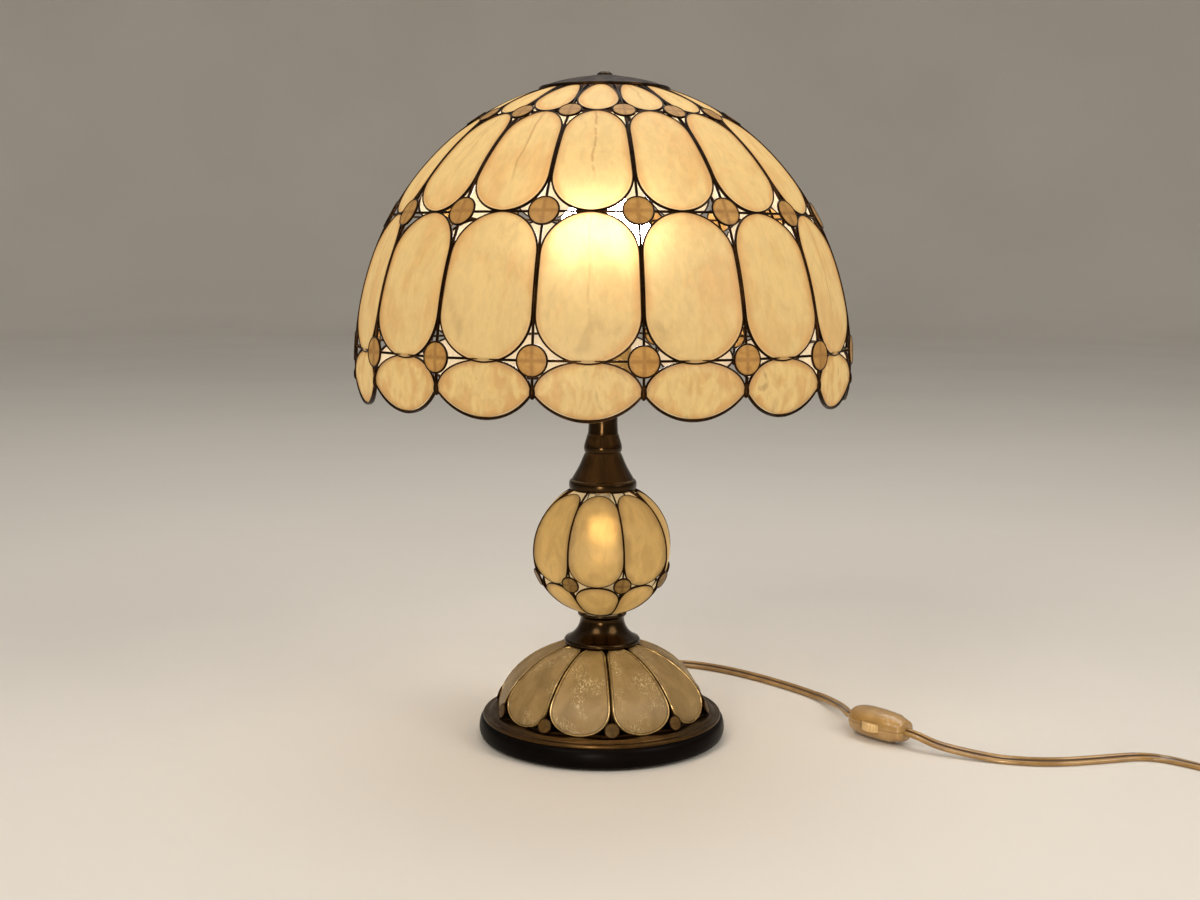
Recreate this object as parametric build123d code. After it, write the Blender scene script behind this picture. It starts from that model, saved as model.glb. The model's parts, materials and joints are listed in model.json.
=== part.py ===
"""Table lamp with a domed shade, a lit globe and a domed base, all of shell panes in a bronze lattice.

Millimetres, +Z up. The origin is the middle of the footprint, on the surface that the lamp stands on.
The front is -Y. The cord leaves the base at the back and lies on the same surface.
The pieces stack on one hollow rod, so each height is worked out from the piece below it.
"""

import os
from math import asin, ceil, cos, hypot, pi, radians, sin, sqrt, tan

from build123d import *

# Clearances
seat_gap = 0.1              # between pieces that rest on each other
slide_gap = 0.1             # radial, round the rod, the stud and the switch spindle

# Rod that everything is clamped on
rod_radius = 5.0
rod_bore = 3.4
rod_above_saddle = 6.0      # reach of the rod into the lampholder

# Foot
felt_thickness = 1.5
base_height = 12.0
base_radius = 76.7          # at the bulge of its side
base_top_radius = base_radius - 2.1
base_foot_radius = base_radius - 1.3
felt_radius = base_foot_radius - 4.4
nut_pocket_radius = 17.0    # under the base, for the nut and the washer
nut_pocket_depth = 9.0
channel_width = 8.0         # groove for the cord, from the pocket to the back
channel_depth = 7.6
nut_flats = 17.0
nut_height = 4.0
washer_radius = 12.0
washer_thickness = 1.4
flange_radius = base_top_radius - 0.4
flange_crown_radius = flange_radius - 5.6
flange_bore_radius = 60.0
flange_height = 3.7
flange_lip = 1.6

# Lattice, used by the shade, the globe and the base dome
pane_thickness = 1.2
rib_width = 2.6
rib_depth = 2.6
wire = 1.8                  # side of a ring wire
rondel_thickness = 1.2
rondel_sides = 8
pane_tip = 14.0             # degrees of a pane's rounded end at which its flat tip starts
pane_round_facets = 3       # facets of a pane's rounded end

# Facets, in place of curves that would mesh heavily
round_sides = 20            # round a turned piece
wide_round_sides = 32       # the same for the base and the cap
bend_facet = 20.0           # degrees, along the bends of the cord and the harp
arc_facets = 3              # along an arc of a turned outline
rib_facet = 14.0            # degrees of the ellipse for each straight length of a shade rib
small_rib_facet = 20.0      # the same on the globe and the base dome

# Base dome
base_sides = 10
base_turn = 5.2             # degrees from the front to the first rib
base_dome_radius = 67.8
base_dome_rise = 52.4
base_dome_drop = 9.4        # widest level below the dome's own foot
base_dome_eye = 19.0        # radius of its top ring
base_rondel_radius = 5.6
base_rondel_height = 4.9    # above the dome's foot
petal_foot_round = 17.0
petal_head_round = 8.0

# Collar between the base dome and the globe
collar_foot_radius = 23.6
collar_waist_radius = 14.2
collar_lip_radius = 16.0
collar_height = 18.2
collar_recess_radius = 20.8
collar_dish_radius = 13.4

# Globe
globe_sides = 8
globe_turn = 16.9
globe_radius = 43.7
globe_rise = 41.0
globe_foot_eye = 11.6       # radius of the bottom ring
globe_head_eye = 17.4       # radius of the top ring
globe_split = 17.5          # the petals end this far below the widest level
globe_rondel_lift = 1.8     # rondels above the split
globe_petal_foot_round = 18.0
globe_petal_head_round = 17.0
globe_oval_foot_round = 12.0
globe_oval_head_round = 11.0
globe_rondel_radius = 5.6
globe_plate_thickness = 1.2
globe_bracket_drop = 27.0   # below the globe's centre
globe_bracket_thickness = 1.6
globe_holder_offset = 19.0  # from the rod, towards the front
globe_holder_radius = 8.2
globe_holder_height = 20.0
globe_bulb_radius = 9.0
globe_bulb_height = 30.0

# Neck
neck_foot_radius = 21.2
neck_step_radius = 18.6
neck_bead_radius = 11.8
neck_top_radius = 8.9
neck_height = 53.1
neck_dish_radius = 19.2

# Lampholder and bulb
holder_radius = 18.0
holder_cup_height = 13.0
holder_shell_height = 40.0
holder_wall = 0.9
holder_core_height = 12.0
holder_shell_lift = 5.0      # of the shell's foot, inside the cup
contact_radius = 4.0
contact_thickness = 1.0
bulb_cap_radius = 13.0
bulb_cap_height = 26.0
bulb_radius = 30.0
bulb_height = 78.0          # glass alone
thread_wall = 0.6

# Harp that carries the shade
saddle_thickness = 1.6
saddle_width = 13.0
saddle_half_span = 24.0
saddle_post_height = 14.0
harp_wire_radius = 2.0
harp_sides = 8
harp_half_width = 54.0
harp_height = 187.6
harp_bends = [20, 40, 30, 7]    # radii, from the foot to the crown
harp_sleeve_radius = 3.6
harp_sleeve_height = 12.0
stud_radius = 3.1
stud_shoulder_radius = 6.5
stud_shoulder_height = 3.0
stud_height = 5.0            # above the shoulder
finial_radius = 4.6
finial_height = 6.0

# Shade
shade_sides = 16
shade_turn = -14.5
shade_radius = 149.4        # rib centre lines at the widest level
shade_rise = 167.4
shade_eye = 37.0            # radius of its top ring
ring_a_drop = 18.3          # heights of the crossings below the top ring
ring_b_drop = 74.5
ring_c_drop = 152.2
hem_drop = 184.6            # bottoms of the scallops
valley_drop = 171.0         # ends of the ribs, between the scallops
crown_rounds = (17.0, 25.0)     # reach of a pane's rounded foot and head, row by row
upper_rounds = (22.0, 19.0)
lower_rounds = (25.0, 23.0)
scallop_rounds = (15.5, 15.5)
shade_rondel_radius = 8.3
shade_rondel_radius_top = 6.5
cap_radius = 39.4
cap_rise = 7.0
cap_thickness = 1.2
cap_flat_radius = 8.0

# Cord, flat and twin-cored, and what is on it
cord_width = 5.6
cord_thickness = 3.0
bushing_length = 22.0
bushing_root_radius = 4.9
gland_radius = 4.2          # of the bushing's neck, in the hole through the base
exit_height = 5.2           # of the cord's way out, above the base's foot
bushing_tip_radius = 3.7
switch_length = 47.0
switch_radius = 9.0
switch_flat = 7.4           # half height of the flattened housing
switch_swell = [                # share of its half length, share of its full girth
    (-1, 0.58), (-0.84, 0.72), (-0.5, 0.92), (0, 1), (0.5, 0.92), (0.84, 0.72), (1, 0.58)
]
wheel_radius = 8.6
wheel_height = 5.0
wheel_out = 4.6             # wheel centre, sideways from the housing's centre line
wheel_pin_radius = 1.5
wheel_notches = 12
contact_reach = 9.0         # length of a switch contact
screw_radius = 1.2
switch_middle = (174.0, -7.8)
switch_heading = (0.628, -0.779)    # from the lamp's side to the far side
plug_length = 36.0
plug_width = 25.0
plug_height = 15.0
blade_length = 17.0
blade_width = 6.3
blade_thickness = 1.5
blade_pitch = 12.7
coil_turns = 3              # on each of its two layers
coil_radius = 36.0          # outermost turn, at the middle of the cord
coil_pitch = 6.2            # from turn to turn
coil_layer = 3.6            # from layer to layer
coil_lead = 5.6             # straight ends
coil_centre = (412.0, -88.0)
coil_start = -150.0         # degrees


class Dome:
    """Faceted dome whose ribs follow half an ellipse."""

    def __init__(self, sides, turn, radius, rise, centre_z):
        self.sides = sides
        self.turn = turn
        self.radius = radius
        self.rise = rise
        self.centre_z = centre_z
        self.half_step = pi / sides

    def angle(self, z):
        return asin((z - self.centre_z) / self.rise)

    def spot(self, angle):
        """Radius and height on a rib's centre line."""
        return self.radius * cos(angle), self.centre_z + self.rise * sin(angle)

    def radius_at(self, z):
        return self.radius * cos(self.angle(z))

    def height_at(self, radius, side=1):
        return self.centre_z + side * self.rise * sqrt(1 - (radius / self.radius) ** 2)

    def normal(self, angle):
        """Outward and upward parts of the unit normal of the ellipse."""
        out, up = cos(angle) / self.radius, sin(angle) / self.rise
        size = hypot(out, up)
        return out / size, up / size

    def speed(self, angle):
        """Length of rib for each radian of the ellipse's angle."""
        return hypot(self.radius * sin(angle), self.rise * cos(angle))


def front(across, out, up):
    """Point of a template that faces the front."""
    return Vector(across, -out, up)


def flat_faces(corners):
    """One flat face between three or four corners, or two where the four don't lie in a plane."""
    kept = [p for k, p in enumerate(corners) if (p - corners[k - 1]).length > 1e-6]
    if len(kept) < 3:
        return []
    if len(kept) == 4:
        a, b, c, d = kept
        if abs((b - a).cross(c - a).normalized().dot(d - a)) > 1e-6:
            return [outline_face([a, b, c]), outline_face([a, c, d])]
    return [outline_face(kept)]


def outline_face(points):
    return Face(Wire.make_polygon(points, close=True))


def skin(rows, joined=False):
    """Solid whose faces run from row to row of points; each row goes once round it.

    A joined skin closes on its first row, as a ring does. The others get two flat ends.
    """
    faces = [] if joined else [outline_face(rows[0]), outline_face(rows[-1])]
    following = rows[1:] + rows[:1] if joined else rows[1:]
    for row, after in zip(rows, following):
        for k in range(len(row)):
            faces += flat_faces([row[k - 1], row[k], after[k], after[k - 1]])
    return Solid(Shell(faces))


def turned(outline, sides=round_sides):
    """Turned piece about Z, from an outline of radius and height."""
    points = []
    for edge in Wire(outline.edges()).order_edges():
        count = 1 if edge.geom_type == GeomType.LINE else arc_facets
        points += [edge.position_at(k / count) for k in range(count)]
    turns = [2 * pi * k / sides for k in range(sides)]
    rows = [[Vector(p.X * cos(turn), p.X * sin(turn), p.Y) for turn in turns] for p in points]
    return skin(rows, joined=True)


def swept(path, profile, across=None):
    """Bar along a path of lines and arcs, from a profile of sideways and upward offsets.

    Sideways is the given direction, or level and square to the path where none is given.
    """
    rows = []
    for edge in path.order_edges():
        turn = (edge % 0).get_angle(edge % 1)
        count = max(1, ceil(turn / bend_facet))
        rows += [profile_row(edge, k / count, profile, across) for k in range(count)]
    rows.append(profile_row(edge, 1, profile, across))
    return skin(rows)


def profile_row(edge, share, profile, across):
    spot, ahead = edge @ share, edge % share
    side = across or Vector(0, 0, 1).cross(ahead).normalized()
    up = ahead.cross(side)
    return [spot + side * x + up * y for x, y in profile]


def tube(outer, inner, low, height, sides=round_sides):
    """Plain round sleeve."""
    ends = RegularPolygon(outer, sides) - RegularPolygon(inner, sides)
    return Pos(0, 0, low) * extrude(ends, amount=height)


def disc(radius, low, height, sides=round_sides):
    return Pos(0, 0, low) * extrude(RegularPolygon(radius, sides), amount=height)


def section(out, up, normal, half_width, half_depth):
    """Corners of a rectangle across a bar or a pane, its half depth along the normal."""
    corners = [(-1, -1), (1, -1), (1, 1), (-1, 1)]
    return [
        front(
            side * half_width,
            out + depth * half_depth * normal[0],
            up + depth * half_depth * normal[1],
        )
        for side, depth in corners
    ]


def round_about(template, dome, offset=0.0):
    """Copies of a template, one for each side; an offset of 0.5 puts them between the ribs."""
    step = 360 / dome.sides
    return [Rot(0, 0, dome.turn + (k + offset) * step) * template for k in range(dome.sides)]


def rib(dome, heights, facet):
    """Bar along the ellipse through the given heights, with a bend at each of them."""
    stops = [dome.angle(z) for z in heights]
    angles = [stops[0]]
    for start, stop in zip(stops, stops[1:]):
        count = max(1, round((stop - start) / radians(facet)))
        angles += [start + (stop - start) * (k + 1) / count for k in range(count)]
    return skin([
        section(*dome.spot(angle), dome.normal(angle), rib_width / 2, rib_depth / 2)
        for angle in angles
    ])


def ring(dome, z):
    """Wire ring with a corner at each rib."""
    outer = RegularPolygon(dome.radius_at(z) + wire / 2, dome.sides)
    inner = RegularPolygon(dome.radius_at(z) - wire / 2, dome.sides)
    return Pos(0, 0, z - wire / 2) * Rot(0, 0, dome.turn - 90) * extrude(outer - inner, amount=wire)


def lattice(dome, heights, ring_heights, facet):
    """Ribs and rings, soldered into one piece."""
    bars = round_about(rib(dome, heights, facet), dome)
    rings = [ring(dome, z) for z in ring_heights]
    return bars[0].fuse(*bars[1:], *rings)


def pane(dome, low, high, low_round, high_round, middle=1, squareness=2.1):
    """Pane that fills one side between two ribs, bent along its length only.

    Its ends are superellipses: at the angle t the half width is sin(t) and the way in from
    the end is 1 - cos(t), each raised to 2 / squareness.
    """
    power = 2 / squareness
    first = radians(pane_tip)
    count = pane_round_facets
    turns = [first + (pi / 2 - first) * k / count for k in range(count + 1)]
    lost = 1 - cos(first) ** power
    ends = [((1 - cos(t) ** power - lost) / (1 - lost), sin(t) ** power) for t in turns]
    start, stop = dome.angle(low), dome.angle(high)
    levels = [(start + low_round * way / dome.speed(start), share) for way, share in ends]
    upper = [(stop - high_round * way / dome.speed(stop), share) for way, share in reversed(ends)]
    gap = (upper[0][0] - levels[-1][0]) / (middle + 1)
    if middle:
        levels += [(levels[-1][0] + gap * k, 1.0) for k in range(1, middle + 1)] + upper
    else:
        levels[-1] = ((levels[-1][0] + upper[0][0]) / 2, 1.0)
        levels += upper[1:]
    tuck = rib_width / 2 / cos(dome.half_step) + pane_thickness / 2 * tan(dome.half_step) + seat_gap
    rows = []
    for angle, share in levels:
        radius, z = dome.spot(angle)
        half_width = share * (radius * sin(dome.half_step) - tuck)
        out = radius * cos(dome.half_step)
        rows.append(section(out, z, dome.normal(angle), half_width, pane_thickness / 2))
    return skin(rows)


def rondel(dome, z, radius):
    """Small disc that lies on the outside of a crossing."""
    angle = dome.angle(z)
    out, up = dome.normal(angle)
    lift = rib_depth / 2 + seat_gap
    rib_radius, rib_z = dome.spot(angle)
    plane = Plane(
        origin=front(0, rib_radius + lift * out, rib_z + lift * up),
        x_dir=(1, 0, 0),
        z_dir=front(0, out, up),
    )
    return extrude(plane * RegularPolygon(radius, rondel_sides), amount=rondel_thickness)


def end_gap(dome, z):
    """Height from a ring's middle to the end of a pane that stands on it, or hangs from it."""
    angle = dome.angle(z)
    lean = (dome.radius * abs(sin(angle)) + dome.rise * cos(angle)) / dome.speed(angle)
    return (wire / 2 * lean + 2 * seat_gap) * dome.rise * cos(angle) / dome.speed(angle)


def arc_steps(centre_z, radius, start, stop, steps):
    """Points of radius and height along a circle about a point of the axis, angles in degrees."""
    angles = [radians(start + (stop - start) * k / steps) for k in range(steps + 1)]
    return [(radius * cos(a), centre_z + radius * sin(a)) for a in angles]


# Heights, from the surface up
rod_clear = rod_radius + slide_gap
base_z = felt_thickness
flange_z = base_z + base_height + seat_gap
exit_z = base_z + exit_height
switch_z = switch_flat + 0.2
dome_foot_z = flange_z + flange_height + wire / 2 + seat_gap

base_dome = Dome(
    base_sides, base_turn, base_dome_radius, base_dome_rise, dome_foot_z - base_dome_drop
)


def cover(radius, rise, at):
    """Height above a dome's centre of its ribs' outsides, at a given radius."""
    outside = rib_depth / 2
    return (rise + outside) * sqrt(1 - (at / (radius + outside)) ** 2)


base_eye_z = base_dome.height_at(base_dome_eye)
collar_z = base_dome.centre_z + cover(base_dome_radius, base_dome_rise, collar_recess_radius) + seat_gap
collar_top_z = collar_z + collar_height
globe_z = collar_top_z + cover(globe_radius, globe_rise, collar_dish_radius) + seat_gap
globe = Dome(globe_sides, globe_turn, globe_radius, globe_rise, globe_z)
globe_foot_z = globe.height_at(globe_foot_eye, -1)
globe_head_z = globe.height_at(globe_head_eye)
globe_split_z = globe_z - globe_split
neck_z = globe_z + cover(globe_radius, globe_rise, neck_dish_radius) + seat_gap
neck_top_z = neck_z + neck_height
saddle_z = neck_top_z + seat_gap
holder_z = saddle_z + saddle_thickness + seat_gap
harp_top_z = holder_z + harp_height
shoulder_z = harp_top_z + harp_wire_radius + seat_gap
cap_z = shoulder_z + stud_shoulder_height + seat_gap
cap_rim_z = cap_z - cap_rise
shade_z = cap_rim_z - seat_gap - cover(shade_radius, shade_rise, cap_radius - cap_thickness)
shade = Dome(shade_sides, shade_turn, shade_radius, shade_rise, shade_z)
crown_z = shade.height_at(shade_eye)
ring_a_z = crown_z - ring_a_drop
ring_b_z = crown_z - ring_b_drop
ring_c_z = crown_z - ring_c_drop
hem_z = crown_z - hem_drop
valley_z = crown_z - valley_drop

switch_place = Plane(
    origin=(*switch_middle, switch_z), x_dir=(*switch_heading, 0), z_dir=(0, 0, 1)
)

parts = {}


# Foot

def make_foot():
    top = flange_z - seat_gap
    pocket_top = base_z + nut_pocket_depth
    side = ThreePointArc(
        (base_foot_radius, base_z), (base_radius, base_z + base_height * 0.45), (base_top_radius, top)
    )
    body = turned(
        Polyline(
            (base_top_radius, top),
            (rod_clear, top),
            (rod_clear, pocket_top),
            (nut_pocket_radius, pocket_top),
            (nut_pocket_radius, base_z),
            (base_foot_radius, base_z),
        )
        + side,
        wide_round_sides,
    )
    channel = Box(
        channel_width, base_radius - 9, channel_depth, align=(Align.CENTER, Align.MIN, Align.MIN)
    )
    gland_hole = Cylinder(gland_radius + seat_gap, 20, align=(Align.CENTER, Align.CENTER, Align.MIN))
    gland_hole = Pos(0, base_radius + 2, exit_z) * Rot(90, 0, 0) * gland_hole
    parts["base_body"] = body - Pos(0, 0, base_z) * channel - gland_hole
    parts["base_felt"] = tube(felt_radius, nut_pocket_radius + 1, 0, felt_thickness, wide_round_sides)
    lip_z = flange_z + flange_lip
    crown = flange_z + flange_height
    parts["base_flange"] = turned(
        Polyline(
            (flange_crown_radius, crown),
            (flange_bore_radius, crown),
            (flange_bore_radius, flange_z),
            (flange_radius, flange_z),
            (flange_radius, lip_z),
            (flange_radius - 0.9, lip_z + 0.5),
        )
        + ThreePointArc(
            (flange_radius - 0.9, lip_z + 0.5),
            (flange_radius - 3.4, lip_z + 0.7),
            (flange_crown_radius, crown),
        ),
        wide_round_sides,
    )
    washer_z = pocket_top - washer_thickness - seat_gap
    parts["rod_washer"] = tube(washer_radius, rod_clear, washer_z, washer_thickness)
    nut_z = washer_z - nut_height - seat_gap
    parts["rod_nut"] = nut(nut_z)
    rod_z = nut_z + nut_height * 0.3
    parts["rod"] = tube(rod_radius, rod_bore, rod_z, holder_z + rod_above_saddle - rod_z)


def nut(z):
    outline = RegularPolygon(nut_flats / 2, 6, major_radius=False) - RegularPolygon(rod_clear, round_sides)
    return Pos(0, 0, z) * extrude(outline, amount=nut_height)


# Domes of panes

def make_base_dome():
    foot = dome_foot_z
    rondel_z = foot + base_rondel_height
    parts["base_frame"] = lattice(
        base_dome, [foot, rondel_z, base_eye_z], [foot, base_eye_z], small_rib_facet
    )
    low = foot + end_gap(base_dome, foot)
    high = base_eye_z - end_gap(base_dome, base_eye_z)
    petal = pane(base_dome, low, high, petal_foot_round, petal_head_round, 2)
    parts["base_petals"] = Compound(round_about(petal, base_dome, 0.5))
    parts["base_rondels"] = Compound(
        round_about(rondel(base_dome, rondel_z, base_rondel_radius), base_dome)
    )


def make_globe():
    foot, head, split = globe_foot_z, globe_head_z, globe_split_z
    rondel_z = split + globe_rondel_lift
    parts["globe_frame"] = lattice(globe, [foot, rondel_z, head], [foot, head], small_rib_facet)
    petal = pane(
        globe, split + seat_gap, head - end_gap(globe, head),
        globe_petal_foot_round, globe_petal_head_round, squareness=2.2,
    )
    oval = pane(
        globe, foot + end_gap(globe, foot), split - seat_gap,
        globe_oval_foot_round, globe_oval_head_round, middle=0, squareness=2.2,
    )
    parts["globe_petals"] = Compound(round_about(petal, globe, 0.5))
    parts["globe_ovals"] = Compound(round_about(oval, globe, 0.5))
    parts["globe_rondels"] = Compound(
        round_about(rondel(globe, rondel_z, globe_rondel_radius), globe)
    )
    foot_plate_top = foot - rib_depth / 2 - seat_gap
    foot_plate_z = foot_plate_top - globe_plate_thickness
    parts["globe_foot_plate"] = tube(
        collar_dish_radius - slide_gap, rod_clear, foot_plate_z, globe_plate_thickness
    )
    head_plate_z = head + rib_depth / 2 + seat_gap
    parts["globe_head_plate"] = tube(
        neck_dish_radius - slide_gap, rod_clear, head_plate_z, globe_plate_thickness
    )
    make_collar(foot_plate_z - seat_gap)
    make_neck(head_plate_z + globe_plate_thickness + seat_gap)
    make_globe_light()


def make_collar(dish_z):
    recess_z = base_eye_z + rib_depth / 2 + seat_gap
    z = collar_z
    foot = collar_foot_radius
    waist_z = z + collar_height * 0.74
    shoulder = (collar_waist_radius + 1.6, z + collar_height * 0.52)
    line = Polyline(
        (collar_lip_radius, collar_top_z),
        (collar_dish_radius, collar_top_z),
        (collar_dish_radius, dish_z),
        (rod_clear, dish_z),
        (rod_clear, recess_z),
        (collar_recess_radius, recess_z),
        (collar_recess_radius, z),
        (foot - 0.7, z),
        (foot, z + 0.9),
        (foot, z + 2.2),
        (foot - 1.0, z + 3.3),
    )
    line += ThreePointArc((foot - 1.0, z + 3.3), (foot - 3.0, z + 6.2), shoulder)
    line += ThreePointArc(shoulder, (collar_waist_radius, waist_z), (collar_lip_radius, collar_top_z))
    parts["collar"] = turned(line)


def make_neck(dish_z):
    z = neck_z
    foot, step, bead = neck_foot_radius, neck_step_radius, neck_bead_radius
    line = Polyline(
        (neck_top_radius, neck_top_z),
        (rod_clear, neck_top_z),
        (rod_clear, dish_z),
        (neck_dish_radius, dish_z),
        (neck_dish_radius, z),
        (foot - 0.6, z),
        (foot, z + 1.0),
        (foot, z + 3.0),
        (foot - 0.8, z + 4.2),
        (step, z + 4.6),
        (step, z + 5.8),
    )
    line += ThreePointArc((step, z + 5.8), (step - 4.4, z + 11.6), (bead, z + 19.0))
    line += Polyline((bead, z + 19.0), (bead - 0.2, z + 23.6), (bead - 0.9, z + 24.4))
    line += ThreePointArc(
        (bead - 0.9, z + 24.4), (neck_top_radius + 0.6, z + 29.5), (neck_top_radius, z + 36.0)
    )
    line += Line((neck_top_radius, z + 36.0), (neck_top_radius, neck_top_z))
    parts["neck"] = turned(line)


def make_globe_light():
    bracket_z = globe_z - globe_bracket_drop
    reach = globe_holder_offset + globe_holder_radius
    tail = rod_radius + 4.0
    plate = Box(
        2 * globe_holder_radius,
        reach + tail,
        globe_bracket_thickness,
        align=(Align.CENTER, Align.MAX, Align.MIN),
    )
    hole = disc(rod_clear, bracket_z, globe_bracket_thickness)
    parts["globe_bracket"] = Pos(0, tail, bracket_z) * plate - hole
    bracket_top = bracket_z + globe_bracket_thickness + seat_gap
    parts["bracket_nuts"] = Compound([nut(bracket_z - nut_height - seat_gap), nut(bracket_top)])
    socket_radius = globe_bulb_radius - 2.4
    socket_depth = globe_holder_height * 0.7
    holder = disc(globe_holder_radius, 0, globe_holder_height)
    holder -= disc(socket_radius, globe_holder_height - socket_depth, socket_depth)
    parts["globe_lampholder"] = Pos(0, -globe_holder_offset, bracket_top) * holder
    bulb_z = bracket_top + globe_holder_height - socket_depth + seat_gap
    cap = socket_radius - slide_gap
    centre = globe_bulb_height + socket_depth - globe_bulb_radius
    curve = arc_steps(centre, globe_bulb_radius, -30, 90, 6)
    line = Polyline((0, 0), (cap, 0), (cap, socket_depth + 2.0), *curve, (0, 0))
    parts["globe_bulb"] = Pos(0, -globe_holder_offset, bulb_z) * turned(line)


# Lampholder and bulb

def make_lampholder():
    z = holder_z
    outer, wall = holder_radius, holder_wall
    shell_z = z + holder_shell_lift
    throat = outer * 0.6
    parts["lampholder_cup"] = turned(
        Polyline(
            (rod_clear, z),
            (throat, z),
            (outer - 1.0, shell_z - 1.2),
            (outer, shell_z + 1.0),
            (outer, z + holder_cup_height),
            (outer - wall, z + holder_cup_height),
            (outer - wall, shell_z - seat_gap),
            (throat - wall, z + wall),
            (rod_clear, z + wall),
            (rod_clear, z),
        )
    )
    shell_outer = outer - wall - seat_gap
    shell_inner = shell_outer - wall
    parts["lampholder_shell"] = tube(shell_outer, shell_inner, shell_z, holder_shell_height)
    core_z = z + rod_above_saddle + 2 * seat_gap
    core_radius = shell_inner - seat_gap
    core = disc(core_radius, core_z, holder_core_height)
    parts["lampholder_core"] = core - disc(rod_bore, core_z, holder_core_height / 2)
    deck_z = core_z + holder_core_height + seat_gap
    parts["lampholder_contact"] = disc(contact_radius, deck_z, contact_thickness)
    thread_bore = bulb_cap_radius + slide_gap
    thread_height = bulb_cap_height - 3.0
    parts["lampholder_thread"] = tube(thread_bore + thread_wall, thread_bore, deck_z, thread_height)
    parts["lampholder_liner"] = tube(core_radius, core_radius - wall, deck_z, thread_height)
    make_bulb(deck_z + contact_thickness + seat_gap)


def make_bulb(z):
    r = bulb_cap_radius
    top = z + bulb_cap_height
    parts["bulb_cap"] = turned(
        Polyline((0, z), (contact_radius, z), (r - 2.0, z + 4.4), (r, z + 5.4), (r, top), (0, top), (0, z))
    )
    glass_z = top + seat_gap
    ball_z = glass_z + bulb_height - bulb_radius
    curve = arc_steps(ball_z, bulb_radius, -38, 90, 10)
    line = Polyline((0, glass_z), (r - 0.4, glass_z), (r + 0.8, glass_z + 9), *curve, (0, glass_z))
    parts["bulb_glass"] = turned(line)


# Harp and finial

def make_harp():
    span, top = saddle_half_span, saddle_z + saddle_thickness
    plate = Box(
        saddle_width,
        2 * span + saddle_width / 2,
        saddle_thickness,
        align=(Align.CENTER, Align.CENTER, Align.MIN),
    )
    saddle = Pos(0, 0, saddle_z) * plate - disc(rod_clear, saddle_z, saddle_thickness)
    post = disc(harp_wire_radius, top - saddle_thickness / 2, saddle_post_height + saddle_thickness / 2, harp_sides)
    posts = [Pos(0, side * span, 0) * post for side in (-1, 1)]
    parts["harp_saddle"] = saddle.fuse(*posts)
    foot = top + saddle_post_height + seat_gap
    rise = harp_top_z - foot
    half = [
        (span, foot),
        (span, foot + harp_sleeve_height * 1.2),
        (harp_half_width, foot + rise * 0.42),
        (harp_half_width * 0.96, foot + rise * 0.80),
    ]
    flat = stud_shoulder_radius * 1.5
    route = half + [(flat, harp_top_z), (-flat, harp_top_z)] + [(-y, z) for y, z in reversed(half)]
    path = Plane.YZ * FilletPolyline(*route, radius=harp_bends + harp_bends[::-1])
    turns = [2 * pi * (k + 0.5) / harp_sides for k in range(harp_sides)]
    profile = [(harp_wire_radius * cos(turn), harp_wire_radius * sin(turn)) for turn in turns]
    parts["harp_wire"] = swept(Wire(path.edges()), profile, Vector(1, 0, 0))
    bore = harp_wire_radius + slide_gap
    sleeve = tube(harp_sleeve_radius, bore, foot - harp_sleeve_height * 0.6, harp_sleeve_height, 16)
    parts["harp_sleeves"] = Compound([Pos(0, side * span, 0) * sleeve for side in (-1, 1)])
    shoulder = disc(stud_shoulder_radius, shoulder_z, stud_shoulder_height)
    stud_z = shoulder_z + stud_shoulder_height
    parts["harp_stud"] = shoulder.fuse(disc(stud_radius, stud_z, stud_height))


def make_finial():
    z = cap_z + cap_thickness + seat_gap
    bore = stud_radius + slide_gap
    bore_top = shoulder_z + stud_shoulder_height + stud_height + 2 * seat_gap
    r = finial_radius
    top = z + finial_height
    parts["finial"] = turned(
        Polyline(
            (0, bore_top),
            (bore, bore_top),
            (bore, z),
            (r - 0.4, z),
            (r, z + 0.8),
            (r, z + finial_height * 0.62),
            (r * 0.8, z + finial_height * 0.86),
            (r * 0.4, top),
            (0, top),
            (0, bore_top),
        )
    )


# Shade

def make_shade():
    parts["shade_frame"] = lattice(
        shade,
        [valley_z, ring_c_z, ring_b_z, ring_a_z, crown_z],
        [ring_c_z, ring_b_z, ring_a_z, crown_z],
        rib_facet,
    )

    def row(name, low, high, rounds, middle, low_ring=True):
        foot = low + end_gap(shade, low) if low_ring else low
        template = pane(shade, foot, high - end_gap(shade, high), *rounds, middle)
        parts[name] = Compound(round_about(template, shade, 0.5))

    row("shade_panes_crown", ring_a_z, crown_z, crown_rounds, 0)
    row("shade_panes_upper", ring_b_z, ring_a_z, upper_rounds, 1)
    row("shade_panes_lower", ring_c_z, ring_b_z, lower_rounds, 1)
    row("shade_scallops", hem_z, ring_c_z, scallop_rounds, 0, low_ring=False)
    crossings = [
        ("shade_rondels_a", ring_a_z, shade_rondel_radius_top),
        ("shade_rondels_b", ring_b_z, shade_rondel_radius),
        ("shade_rondels_c", ring_c_z, shade_rondel_radius),
    ]
    for name, z, radius in crossings:
        parts[name] = Compound(round_about(rondel(shade, z, radius), shade))
    bore = stud_radius + slide_gap
    rim, flat, wall = cap_radius, cap_flat_radius, cap_thickness
    middle = (rim + flat) / 2
    bulge = cap_rise * 0.7
    outside = Polyline(
        (rim - wall, cap_rim_z + 1.0), (rim - wall, cap_rim_z), (rim, cap_rim_z), (rim, cap_rim_z + 1.8),
        (rim - 1.0, cap_rim_z + 2.4)
    )
    outside += ThreePointArc(
        (rim - 1.0, cap_rim_z + 2.4), (middle, cap_rim_z + bulge + wall), (flat, cap_z + wall)
    )
    inside = Polyline((flat, cap_z + wall), (bore, cap_z + wall), (bore, cap_z), (flat, cap_z))
    inside += ThreePointArc((flat, cap_z), (middle, cap_rim_z + bulge), (rim - wall, cap_rim_z + 1.0))
    parts["shade_cap"] = turned(outside + inside, wide_round_sides)


# Cord and what is on it

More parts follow.
